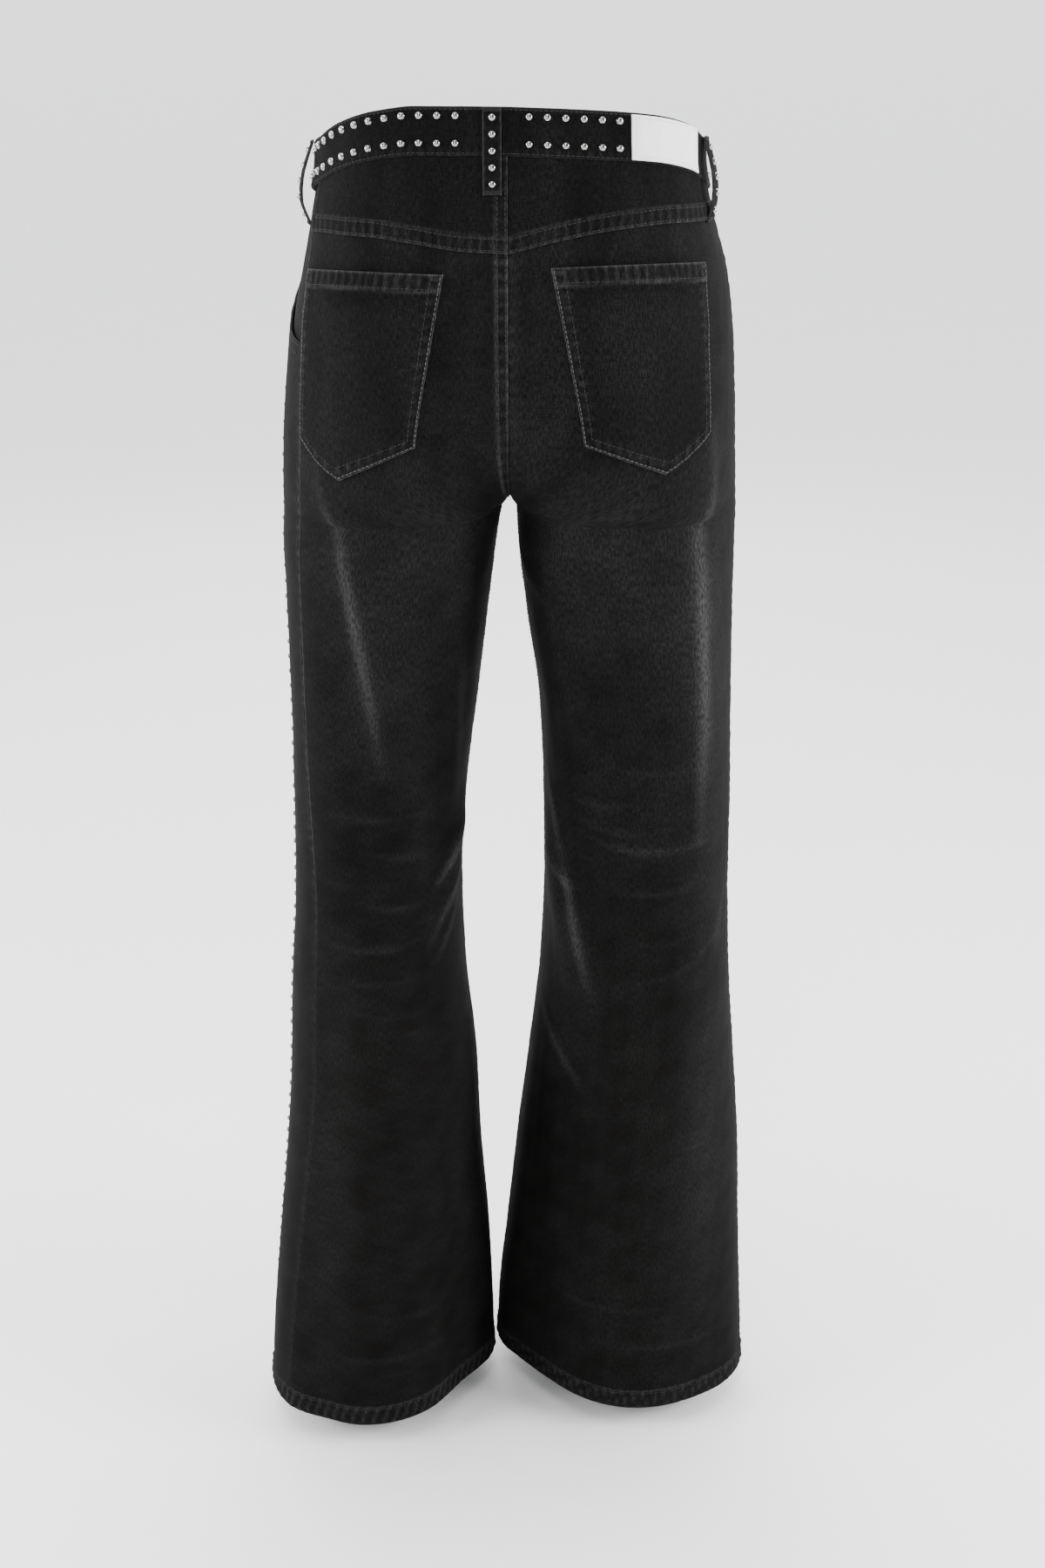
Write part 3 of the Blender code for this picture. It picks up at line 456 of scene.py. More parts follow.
    def fold_lift(self, folds: Sequence[Fold], leg: Leg, heights: Array, arounds: Array) -> Array:
        """How far folds lift the cloth.

        Args:
            folds: The folds to add up.
            leg: The leg, whose folds alone count.
            heights: Heights, an array.
            arounds: Places around from 0 to 2.

        Returns:
            The lift at each place.
        """
        total = np.zeros(heights.shape)
        for fold in (fold for fold in folds if fold.leg is leg):
            start = np.array((fold.top_height, fold.top_around * self.fold_scale))
            line = np.array((fold.bottom_height, fold.bottom_around * self.fold_scale)) - start
            x, y = heights - start[0], arounds * self.fold_scale - start[1]
            share = np.clip((x * line[0] + y * line[1]) / (line @ line), 0.0, 1.0)
            bow = fold.sag * np.sin(math.pi * share)
            gap = np.hypot(x - share * line[0] + bow, y - share * line[1])
            swell = self.fold_end + (1.0 - self.fold_end) * np.sin(math.pi * share)
            total += fold.ridge * swell * bell(gap, fold.half_width)
        return total

    def base(self, leg: Leg, heights: Array, arounds: Array) -> Array:
        """Points of the base surface with its folds, which below the crotch runs on over the inseam.

        Args:
            leg: The leg.
            heights: Heights, an array.
            arounds: Places around from 0 to 2.

        Returns:
            The points.
        """
        closed = heights < CROTCH_HEIGHT
        arounds = np.where(closed, np.mod(arounds, 2.0), np.clip(arounds, 0.0, 2.0))
        here = self.read(leg, heights, arounds)
        after = self.read(leg, heights, np.minimum(arounds + 0.01, 2.0))
        before = self.read(leg, heights, np.maximum(arounds - 0.01, 0.0))
        tangent = after - before
        length = np.hypot(tangent[..., 0], tangent[..., 1])
        edge = np.minimum(np.minimum(arounds, 2.0 - arounds) / self.fold_edge, 1.0)
        lift = self.fold_lift(FOLDS, leg, heights, arounds) * edge / length
        x = here[..., 0] - leg.value * tangent[..., 1] * lift
        y = here[..., 1] + leg.value * tangent[..., 0] * lift
        return np.stack((x, y, heights), axis=-1)

    def locate(self, places: Array, heights: Array, offsets: Array) -> tuple[Array, Array]:
        """Points off the base surface, for signed places.

        Args:
            places: Signed places, which may pass 2 or -2 across the centre front.
            heights: Heights.
            offsets: Distances outside the base surface.

        Returns:
            The points, and the surface's outward normals there.
        """
        places, heights, offsets = (
            np.array(grid, float) for grid in np.broadcast_arrays(places, heights, offsets)
        )
        signs, arounds = self.side_of(places)
        points, normals = np.empty(places.shape + (3,)), np.empty(places.shape + (3,))
        for leg in Leg:
            chosen = signs == leg.value
            h, a = heights[chosen], arounds[chosen]
            up = self.base(leg, h + self.reach_up, a) - self.base(leg, h - self.reach_up, a)
            on = self.base(leg, h, a + self.reach_around) - self.base(leg, h, a - self.reach_around)
            normal = leg.value * np.cross(up, on)
            normal /= np.linalg.norm(normal, axis=-1, keepdims=True)
            points[chosen] = self.base(leg, h, a) + offsets[chosen][..., None] * normal
            normals[chosen] = normal
        return points, normals

    def side_of(self, places: Array) -> tuple[Array, Array]:
        """The leg's sign and the place around for signed places."""
        left = np.where(np.abs(places) > 2.0, places < 0.0, places >= 0.0)
        arounds = np.where(np.abs(places) > 2.0, 4.0 - np.abs(places), np.abs(places))
        return np.where(left, 1, -1), arounds

    def unit(self, places: Array, heights: Array) -> Array:
        """Metres for each unit of place.

        Args:
            places: Signed places.
            heights: Heights.

        Returns:
            The length of the half ring that each place is on.
        """
        places, heights = np.broadcast_arrays(np.asarray(places, float), heights)
        signs, arounds = self.side_of(places)
        row = np.round((heights - self.lowest) / self.level_step).astype(int)
        row = np.clip(row, 0, len(self.lengths[Leg.LEFT]) - 1)
        half = (arounds >= 1.0).astype(int)
        left, right = self.lengths[Leg.LEFT][row, half], self.lengths[Leg.RIGHT][row, half]
        return np.where(signs > 0, left, right)

    def place_at(self, metres: Array | float, height: Array | float) -> Array:
        """Signed places some metres from the centre back, measured along the body.

        Args:
            metres: Distances, positive on the wearer's left.
            height: Heights.

        Returns:
            The signed places.
        """
        metres = np.asarray(metres, float)
        sign = np.where(metres >= 0.0, 1.0, -1.0)
        back, front = self.unit(sign * 0.5, height), self.unit(sign * 1.5, height)
        along = np.abs(metres)
        return sign * np.where(along < back, along / back, 1.0 + (along - back) / front)

    def edge(self, name: str, places: Array | float) -> Array:
        """Height of an edge that runs around the body, at signed places."""
        signs, arounds = self.side_of(np.asarray(places, float))
        left, right = self.edges["left_" + name], self.edges["right_" + name]
        return np.where(signs > 0, left(arounds), right(arounds))

    def band_top(self, places: Array | float) -> Array:
        """Height of the waistband's upper edge."""
        return self.edge("top", places)

    def band_bottom(self, places: Array | float) -> Array:
        """Height of the waistband's lower edge."""
        return self.band_top(places) - BAND_HEIGHT

    def yoke_seam(self, places: Array | float) -> Array:
        """Height of the seam between the yoke and the back panel."""
        return self.edge("seam", places)


SURFACE = BodySurface()


# Shaders


class Socket:
    """A shader socket whose arithmetic adds Math nodes."""

    def __init__(self, graph: "Graph", link: bpy.types.NodeSocket) -> None:
        """Wraps a socket of a graph's node."""
        self.graph = graph
        self.link = link

    def math(self, operation: str, *values: Value) -> "Socket":
        """Adds one Math node for an operation on some values."""
        return self.graph.node("ShaderNodeMath", {"operation": operation}, dict(enumerate(values)))

    def __add__(self, other: Value) -> "Socket":
        """Sum."""
        return self.math("ADD", self, other)

    def __radd__(self, other: Value) -> "Socket":
        """Sum with a number on the left."""
        return self.math("ADD", other, self)

    def __sub__(self, other: Value) -> "Socket":
        """Difference."""
        return self.math("SUBTRACT", self, other)

    def __rsub__(self, other: Value) -> "Socket":
        """Difference from a number on the left."""
        return self.math("SUBTRACT", other, self)

    def __mul__(self, other: Value) -> "Socket":
        """Product."""
        return self.math("MULTIPLY", self, other)

    def __rmul__(self, other: Value) -> "Socket":
        """Product with a number on the left."""
        return self.math("MULTIPLY", other, self)

    def __truediv__(self, other: Value) -> "Socket":
        """Quotient."""
        return self.math("DIVIDE", self, other)

    def sine(self) -> "Socket":
        """Sine."""
        return self.math("SINE", self)

    def step(self, start: float, stop: float) -> "Socket":
        """0 at start, 1 at stop, smooth between."""
        ends = {"From Min": start, "From Max": stop, "To Min": 0.0, "To Max": 1.0}
        settings = {"interpolation_type": "SMOOTHSTEP"}
        return self.graph.node("ShaderNodeMapRange", settings, {"Value": self, **ends}, "Result")

    def output(self, name: str) -> "Socket":
        """Another output of the node that this socket belongs to."""
        return Socket(self.graph, self.link.node.outputs[name])


class Graph:
    """A material's nodes."""

    def __init__(self, name: str) -> None:
        """Makes an empty material."""
        self.material = bpy.data.materials.new(name)
        self.material.use_nodes = True
        self.tree = self.material.node_tree
        self.tree.nodes.clear()

    def node(
        self, kind: str, settings: dict[str, object], inputs: dict[str | int, Value],
        output: str | int = 0,
    ) -> Socket:
        """Adds one node.

        Args:
            kind: The node's type.
            settings: Its options, set before its sockets.
            inputs: Values or links of its input sockets, by name or index.
            output: The output socket to give back.

        Returns:
            That output socket.
        """
        made = self.tree.nodes.new(kind)
        for name, value in settings.items():
            setattr(made, name, value)
        for name, value in inputs.items():
            if isinstance(value, Socket):
                self.tree.links.new(value.link, made.inputs[name])
            else:
                made.inputs[name].default_value = value
        return Socket(self, made.outputs[output])

    def cloth_place(self) -> tuple[Socket, Socket, Socket]:
        """Metres across, height, and wear with painted highlights and shade, as each piece's mesh carries
        them.
        """
        carried = self.node("ShaderNodeAttribute", {"attribute_name": "cloth"}, {}, "Vector")
        across = self.node("ShaderNodeSeparateXYZ", {}, {"Vector": carried}, "X")
        return across, across.output("Y"), across.output("Z")

    def vector(self, x: Value, y: Value, z: Value) -> Socket:
        """Puts three values together as a vector."""
        return self.node("ShaderNodeCombineXYZ", {}, {"X": x, "Y": y, "Z": z})

    def noise(self, place: Socket, scale: float, detail: float = 2.0) -> Socket:
        """Smooth noise from about 0.3 to 0.7, at a scale given in bumps for each unit of place."""
        inputs = {"Vector": place, "Scale": scale, "Detail": detail}
        return self.node("ShaderNodeTexNoise", {}, inputs, "Fac")

    def blend(self, share: Value, first: object, second: object) -> Socket:
        """Mixes two colours."""
        settings = {"data_type": "RGBA", "clamp_factor": True}
        return self.node("ShaderNodeMix", settings, {0: share, 6: first, 7: second}, 2)

    def bump(self, height: Socket, strength: float, distance: float) -> Socket:
        """A normal bent by a height."""
        inputs = {"Strength": strength, "Distance": distance, "Height": height}
        return self.node("ShaderNodeBump", {}, inputs, "Normal")

    def finish(self, inputs: dict[str, object]) -> bpy.types.Material:
        """Adds the Principled shader and the output.

        Args:
            inputs: Values or links of the shader's sockets.

        Returns:
            The finished material.
        """
        shader = self.node("ShaderNodeBsdfPrincipled", {}, inputs, "BSDF")
        self.node_output(shader)
        return self.material

    def node_output(self, shader: Socket) -> None:
        """Links a shader to the material's output."""
        made = self.tree.nodes.new("ShaderNodeOutputMaterial")
        self.tree.links.new(shader.link, made.inputs["Surface"])


def rgba(colour: Sequence[float]) -> tuple[float, float, float, float]:
    """A colour with full alpha."""
    return (*colour, 1.0)


@dataclass(frozen=True)
class DenimFinish:
    """Washed black denim: twill lines, slubs down the warp, clouds of fading, and wear with painted
    highlights on crests.
    """

    name: str = "washed_black_denim"
    black: tuple[float, float, float] = (0.0020, 0.0020, 0.0022)
    washed: tuple[float, float, float] = (0.0110, 0.0109, 0.0112)
    # Lighter colour of wear on seams and edges, and of painted highlights on crease and fold crests
    worn_and_highlight: tuple[float, float, float] = (0.0620, 0.0612, 0.0610)
    warm: tuple[float, float, float] = (0.0030, 0.0027, 0.0021)
    warp_pitch: float = 0.00062
    twill_rise: float = 0.00110

    def build(self) -> bpy.types.Material:
        """Makes the material."""
        graph = Graph(self.name)
        across, down, wear = graph.cloth_place()
        drift = graph.noise(graph.vector(across * 260.0, down * 110.0, 8.0), 1.0, 2.0) * 5.0
        warp = (across / self.warp_pitch + drift) * TAU
        twill = (warp + down / self.twill_rise * TAU).sine()
        weave = twill * 0.22 + warp.sine() * 0.12 + 0.5
        slub = graph.noise(graph.vector(across * 800.0, down * 230.0, 0.0), 1.0, 3.0)
        cross = graph.noise(graph.vector(across * 230.0, down * 800.0, 5.0), 1.0, 2.0)
        cloud = graph.noise(graph.vector(across * 16.0, down * 7.0, 2.0), 1.0, 4.0)
        grain = weave * 0.22 + slub.step(0.38, 0.68) * 0.50 + cross.step(0.40, 0.68) * 0.28
        fading = grain * (0.40 + 0.90 * cloud.step(0.30, 0.72))
        cloth = graph.blend(fading, rgba(self.black), rgba(self.washed))
        # Darker and warmer towards the hems
        lower = (0.0 - down).step(0.15, 0.70)
        toned = graph.blend(lower * 0.55, cloth, rgba(self.warm))
        # The mesh's third value holds wear and painted highlights; both mix towards the lighter colour
        wear_and_highlight_share = wear * (0.45 + 0.9 * slub.step(0.32, 0.68))
        colour = graph.blend(wear_and_highlight_share, toned, rgba(self.worn_and_highlight))
        height = weave * 0.6 + slub * 0.8 + cross * 0.5
        return graph.finish({
            "Base Color": colour,
            "Roughness": 0.66 + 0.20 * slub,
            "Specular IOR Level": 0.02,
            "Sheen Weight": 0.003,
            "Sheen Roughness": 0.55,
            "Sheen Tint": rgba((0.55, 0.55, 0.58)),
            "Normal": graph.bump(height, 0.55, 0.00022),
        })


@dataclass(frozen=True)
class ThreadFinish:
    """Twisted sewing thread, close to the cloth's own tone."""

    name: str
    dark: tuple[float, float, float]
    light: tuple[float, float, float]

    def build(self) -> bpy.types.Material:
        """Makes the material."""
        graph = Graph(self.name)
        along, side, tone = graph.cloth_place()
        twist = ((along / 0.00055 + side / 0.0009) * TAU).sine() * 0.5 + 0.5
        share = twist * 0.55 + tone * 0.45
        return graph.finish({
            "Base Color": graph.blend(share, rgba(self.dark), rgba(self.light)),
            "Roughness": 0.60 + 0.2 * twist,
            "Specular IOR Level": 0.12,
            "Sheen Weight": 0.02,
            "Normal": graph.bump(twist, 0.6, 0.00012),
        })


@dataclass(frozen=True)
class LeatherFinish:
    """Smooth white leather with a fine pore grain, faint handling marks and painted shade in its stitch
    groove.
    """

    name: str = "white_leather"
    pale: tuple[float, float, float] = (0.84, 0.84, 0.86)
    shade: tuple[float, float, float] = (0.70, 0.70, 0.73)

    def build(self) -> bpy.types.Material:
        """Makes the material."""
        graph = Graph(self.name)
        across, down, wear = graph.cloth_place()
        place = graph.vector(across, down, 0.0)
        pores = graph.node("ShaderNodeTexVoronoi", {}, {"Vector": place, "Scale": 1500.0}, "Distance")
        marks = graph.noise(place, 90.0, 4.0)
        # Darker for faint handling marks, for painted shade in the patch's stitch groove, and at its very
        # edge
        share = marks.step(0.35, 0.75) * 0.35 + wear * 0.5
        return graph.finish({
            "Base Color": graph.blend(share, rgba(self.pale), rgba(self.shade)),
            "Roughness": 0.42 + 0.16 * marks,
            "Normal": graph.bump(pores * 0.6 + marks, 0.35, 0.00020),
        })


@dataclass(frozen=True)
class MetalFinish:
    """Plated metal with fine scuffs."""

    name: str
    bright: tuple[float, float, float]
    dull: tuple[float, float, float]
    roughness: float

    def build(self) -> bpy.types.Material:
        """Makes the material."""
        graph = Graph(self.name)
        place = graph.node("ShaderNodeTexCoord", {}, {}, "Object")
        scuffs = graph.noise(place, 900.0, 3.0)
        return graph.finish({
            "Base Color": graph.blend(scuffs.step(0.35, 0.70), rgba(self.bright), rgba(self.dull)),
            "Metallic": 1.0,
            "Roughness": self.roughness + 0.10 * scuffs.step(0.40, 0.75),
            "Normal": graph.bump(scuffs, 0.015, 0.0001),
        })


@dataclass(frozen=True)
class FloorFinish:
    """A plain pale floor."""

    name: str = "studio_floor"
    pale: tuple[float, float, float] = (0.88, 0.88, 0.87)

    def build(self) -> bpy.types.Material:
        """Makes the material."""
        graph = Graph(self.name)
        place = graph.node("ShaderNodeTexCoord", {}, {}, "Object")
        mottle = graph.noise(place, 3.0, 3.0)
        shade = tuple(0.97 * part for part in self.pale)
        return graph.finish({
            "Base Color": graph.blend(mottle, rgba(self.pale), rgba(shade)),
            "Roughness": 0.75,
        })


class Finish(Enum):
    """Every finish, by the record's slot where it has one."""

    DENIM = "denim"
    LEATHER = "patch_leather"
    BUTTON = "button_metal"
    STUD = "stud_metal"
    SIDE_STUD = "side_stud_metal"
    THREAD = "thread"
    PALE_THREAD = "pale_thread"
    PATCH_THREAD = "patch_thread"


class Finishes:
    """Makes each finish once."""

    recipes = {
        Finish.DENIM: DenimFinish(),
        Finish.LEATHER: LeatherFinish(),
        Finish.BUTTON: MetalFinish("satin_nickel", (0.62, 0.61, 0.59), (0.42, 0.41, 0.40), 0.26),
        Finish.STUD: MetalFinish("stud_nickel", (0.36, 0.35, 0.33), (0.26, 0.25, 0.24), 0.15),
        Finish.SIDE_STUD: MetalFinish("dark_nickel", (0.12, 0.12, 0.12), (0.07, 0.07, 0.07), 0.30),
        Finish.THREAD: ThreadFinish("dark_thread", (0.008, 0.008, 0.008), (0.026, 0.026, 0.026)),
        Finish.PALE_THREAD: ThreadFinish("rubbed_thread", (0.030, 0.030, 0.030), (0.110, 0.108, 0.104)),
        Finish.PATCH_THREAD: ThreadFinish("pale_grey_thread", (0.34, 0.34, 0.36), (0.56, 0.56, 0.58)),
    }
    slots = (Finish.DENIM, Finish.LEATHER, Finish.BUTTON)

    def __init__(self) -> None:
        """Makes the materials."""
        self.made = {finish: recipe.build() for finish, recipe in self.recipes.items()}

    def dress(self, piece: bpy.types.Object, finish: Finish) -> None:
        """Gives a piece its finish."""
        piece.data.materials.clear()
        piece.data.materials.append(self.made[finish])
        finish in self.slots


# Meshes


def grid_faces(rows: int, columns: int, first: int = 0) -> Array:
    """Quads of a grid of points, numbered row by row.

    Args:
        rows: Number of rows.
        columns: Number of columns.
        first: The first point's number.

    Returns:
        Four point numbers for each quad.
    """
    corner = first + np.arange(rows * columns).reshape(rows, columns)
    quads = (corner[:-1, :-1], corner[:-1, 1:], corner[1:, 1:], corner[1:, :-1])
    return np.stack(quads, axis=-1).reshape(-1, 4)


def wall_faces(rows: int, columns: int) -> Array:
    """Quads of a closed wall whose outer grid's points come before its inner grid's.

    Args:
        rows: Number of rows in each grid.
        columns: Number of columns in each grid.

    Returns:
        Four point numbers for each quad, which face outward where columns run to the wearer's left.
    """
    count = rows * columns
    corner = np.arange(count).reshape(rows, columns)
    border = np.concatenate((
        corner[:, 0], corner[-1, 1:], corner[-2::-1, -1], corner[0, -2:0:-1],
    ))
    following = np.roll(border, -1)
    rim = np.stack((border, following, following + count, border + count), axis=1)
    return np.concatenate((grid_faces(rows, columns), grid_faces(rows, columns, count)[:, ::-1], rim))


def make_object(
    name: str, points: Array, faces: Array, carried: Array | None = None, flip: bool = False,
) -> bpy.types.Object:
    """Makes a smooth-shaded mesh object in the scene.

    Args:
        name: The object's name.
        points: Its points.
        faces: Point numbers of its faces.
        carried: Metres across, height, and wear with painted highlights and shade at each point, for the
            shaders.
        flip: Whether to turn every face over.

    Returns:
        The object.
    """
    mesh = bpy.data.meshes.new(name)
    faces = faces[:, ::-1] if flip else faces
    mesh.from_pydata(points.reshape(-1, 3).tolist(), [], faces.tolist())
    mesh.polygons.foreach_set("use_smooth", np.ones(len(faces), bool))
    if carried is not None:
        layer = mesh.attributes.new("cloth", "FLOAT_VECTOR", "POINT")
        layer.data.foreach_set("vector", carried.astype(np.float32).ravel())
    mesh.update()
    made = bpy.data.objects.new(name, mesh)
    bpy.context.scene.collection.objects.link(made)
    return made


def ring_faces(rows: int, sides: int) -> Array:
    """Quads between rings of points, numbered ring by ring.

    Args:
        rows: Number of rings.
        sides: Number of points in each ring.

    Returns:
        Four point numbers for each quad.
    """
    corner = np.arange(rows * sides).reshape(rows, sides)
    following = np.roll(corner, -1, axis=1)
    quads = (corner[:-1], following[:-1], following[1:], corner[1:])
    return np.stack(quads, axis=-1).reshape(-1, 4)


def turned(profile: Sequence[tuple[float, float]], sides: int) -> tuple[Array, Array]:
    """A turned shape about Z.

    Args:
        profile: Radius and height of each ring, from the bottom up, closed by its first and last.
        sides: Number of sides.

    Returns:
        Its points and quads.
    """
    turns = np.linspace(0.0, TAU, sides, endpoint=False)
    radii, heights = np.array(profile).T
    x, y = radii[:, None] * np.cos(turns), radii[:, None] * np.sin(turns)
    points = np.stack((x, y, np.broadcast_to(heights[:, None], x.shape)), axis=-1)
    return points.reshape(-1, 3), ring_faces(len(profile), sides)


def spread(
    template: Array, faces: Array, centres: Array, ahead: Array, normals: Array,
) -> tuple[Array, Array]:
    """Copies a template to many spots.

    Args:
        template: The template's points, with X ahead and Z outward.
        faces: The template's faces.
        centres: Each spot.
        ahead: Each spot's direction ahead.
        normals: Each spot's outward direction.

    Returns:
        The points of all copies, by copy, and their faces.
    """
    normals = normals / np.linalg.norm(normals, axis=1, keepdims=True)
    ahead = ahead - np.sum(ahead * normals, axis=1, keepdims=True) * normals
    ahead /= np.linalg.norm(ahead, axis=1, keepdims=True)
    sideways = np.cross(normals, ahead)
    points = centres[:, None] + (
        template[None, :, 0:1] * ahead[:, None]
        + template[None, :, 1:2] * sideways[:, None]
        + template[None, :, 2:3] * normals[:, None]
    )
    shifts = len(template) * np.arange(len(centres))[:, None, None]
    return points, (faces[None] + shifts).reshape(-1, faces.shape[1])


# Sewing and studs


@dataclass(frozen=True)
class Stitch:
    """One stitch of a seam: its length, its thread's radius and how often it comes."""

    length: float = 0.0027
    pitch: float = 0.0032
    radius: float = 0.00030
    arch: float = 0.00022
    sides: int = 6

    def template(self) -> tuple[Array, Array]:
        """Makes one stitch along X, whose ends dip into the cloth.

        Returns:
            Its points and quads.
        """
        shares = np.array((-1.0, -0.72, 0.0, 0.72, 1.0))
        radii = self.radius * np.array((0.02, 0.82, 1.0, 0.82, 0.02))
        turns = np.linspace(0.0, TAU, self.sides, endpoint=False)
        x = np.repeat(shares[:, None] * self.length / 2, self.sides, axis=1)
        y = radii[:, None] * np.cos(turns)
        z = radii[:, None] * np.sin(turns) * 0.8 + self.arch * (1.0 - 1.6 * shares[:, None] ** 2)
        return np.stack((x, y, z), axis=-1).reshape(-1, 3), ring_faces(len(shares), self.sides)


TOPSTITCH = Stitch()
FINE_STITCH = Stitch(0.0014, 0.0018, 0.00017, 0.00012)
TACK_STITCH = Stitch(0.0032, 0.0009, 0.00030, 0.00035)


class Seamstress:
    """Collects lines of stitches and makes each seam's sewing as one mesh."""

    def __init__(self, finishes: Finishes) -> None:
        """Starts with no seams."""
        self.finishes = finishes

    def sew(
        self, name: str, runs: Sequence[tuple[Array, Array]], stitch: Stitch = TOPSTITCH,
        finish: Finish = Finish.THREAD, across: bool = False,
    ) -> bpy.types.Object:
        """Makes the stitches of some lines.

        Args:
            name: The piece's name.
            runs: Close points along each line, and their normals.
            stitch: The kind of stitch.
            finish: The thread's finish.
            across: Whether each stitch lies across its line, as in a bar tack.

        Returns:
            The piece.
        """
        spots = [self.spots(points, normals, stitch.pitch) for points, normals in runs]
        centres, ahead, normals = (np.concatenate([spot[i] for spot in spots]) for i in range(3))
        if across:
            ahead = np.cross(normals, ahead)
        template, faces = stitch.template()
        points, all_faces = spread(template, faces, centres, ahead, normals)
        tones = 0.5 + 0.5 * wobble(np.arange(len(centres)) * 0.37, 2.0)
        carried = np.empty(points.shape)
        carried[..., 0] = template[:, 0] + stitch.pitch * np.arange(len(centres))[:, None]
        carried[..., 1] = template[:, 1]
        carried[..., 2] = tones[:, None]
        made = make_object(name, points, all_faces, carried)
        self.finishes.dress(made, finish)
        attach(made, BODY)
        LOG.info("%s: %d stitches", name, len(centres))
        return made

    def spots(self, points: Array, normals: Array, pitch: float) -> tuple[Array, Array, Array]:
        """Spaces stitches evenly along a line.

        Args:
            points: Close points along the line.
            normals: Their normals.
            pitch: Metres from one stitch to the next.

        Returns:
            Each stitch's centre, direction and normal.
        """
        steps = np.linalg.norm(np.diff(points, axis=0), axis=1)
        along = np.concatenate(([0.0], np.cumsum(steps)))
        count = max(int(along[-1] / pitch), 1)
        at = (np.arange(count) + 0.5) * along[-1] / count

        def read(values: Array, where: Array) -> Array:
            """Reads three columns at distances along the line."""
            return np.stack([np.interp(where, along, values[:, i]) for i in range(3)], axis=1)

        centres = read(points, at)
        ahead = read(points, at + pitch / 3) - read(points, at - pitch / 3)
        return centres, ahead, read(normals, at)


@dataclass(frozen=True)
class Stud:
    """A dome stud pressed into the cloth, with a thin flange."""

    radius: float = 0.0025
    height: float = 0.0019
    sides: int = 16

    def template(self) -> tuple[Array, Array]:
        """Makes one stud with its axis along Z.

        Returns:
            Its points and quads.
        """
        profile = [(0.0002, -0.0004), (self.radius * 1.04, -0.0003), (self.radius * 1.06, 0.0001)]
        profile += [(self.radius * 0.97, 0.00028)]
        for turn in np.radians((12, 30, 48, 66, 82)):
            rise = 0.0003 + self.height * math.sin(turn) * 0.84
            profile.append((self.radius * 0.94 * math.cos(turn), rise))
        profile.append((0.00002, 0.0003 + self.height * 0.84))
        return turned(profile, self.sides)


STUD = Stud()
SIDE_STUD = Stud(0.0021, 0.0016)


class StudSetter:
    """Sets dome studs on cloth."""

    def __init__(self, finishes: Finishes) -> None:
        """Keeps the finishes for the studs."""
        self.finishes = finishes

    def fasten(
        self, name: str, centres: Array, normals: Array, stud: Stud = STUD,
        finish: Finish = Finish.STUD,
    ) -> bpy.types.Object:
        """Makes one piece of many studs.

        Args:
            name: The piece's name.
            centres: Each stud's foot on the cloth.
            normals: The cloth's normal there.
            stud: The kind of stud.
            finish: The studs' finish.

        Returns:
            The piece.
        """
        template, faces = stud.template()
        ahead = np.cross(normals, np.array((0.0, 0.0, 1.0)))
        points, all_faces = spread(template, faces, centres, ahead, normals)
        made = make_object(name, points, all_faces)
        self.finishes.dress(made, finish)
        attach(made, BODY)
        LOG.info("%s: %d studs", name, len(centres))
        return made


# Cloth pieces

NEAR_EDGE = (0.0, 0.0004, 0.0010, 0.0018, 0.0028, 0.0040, 0.0055, 0.0075, 0.0100)
CLOTH_STEP = 0.0032


def edged(length: float, step: float = CLOTH_STEP, near: Sequence[float] = NEAR_EDGE) -> Array:
    """Shares across a width, closer together near both ends.

    Args:
        length: The width in metres.
        step: Metres between shares in the middle.
        near: Distances from each end of the closer shares, from 0 up.

    Returns:
        The shares, from 0 to 1.
    """
    ends = np.array(near) / length
    count = max(round(length * (1.0 - 2.0 * ends[-1]) / step), 2)
    middle = np.linspace(ends[-1], 1.0 - ends[-1], count + 1)
    return np.concatenate((ends[:-1], middle, 1.0 - ends[-2::-1]))


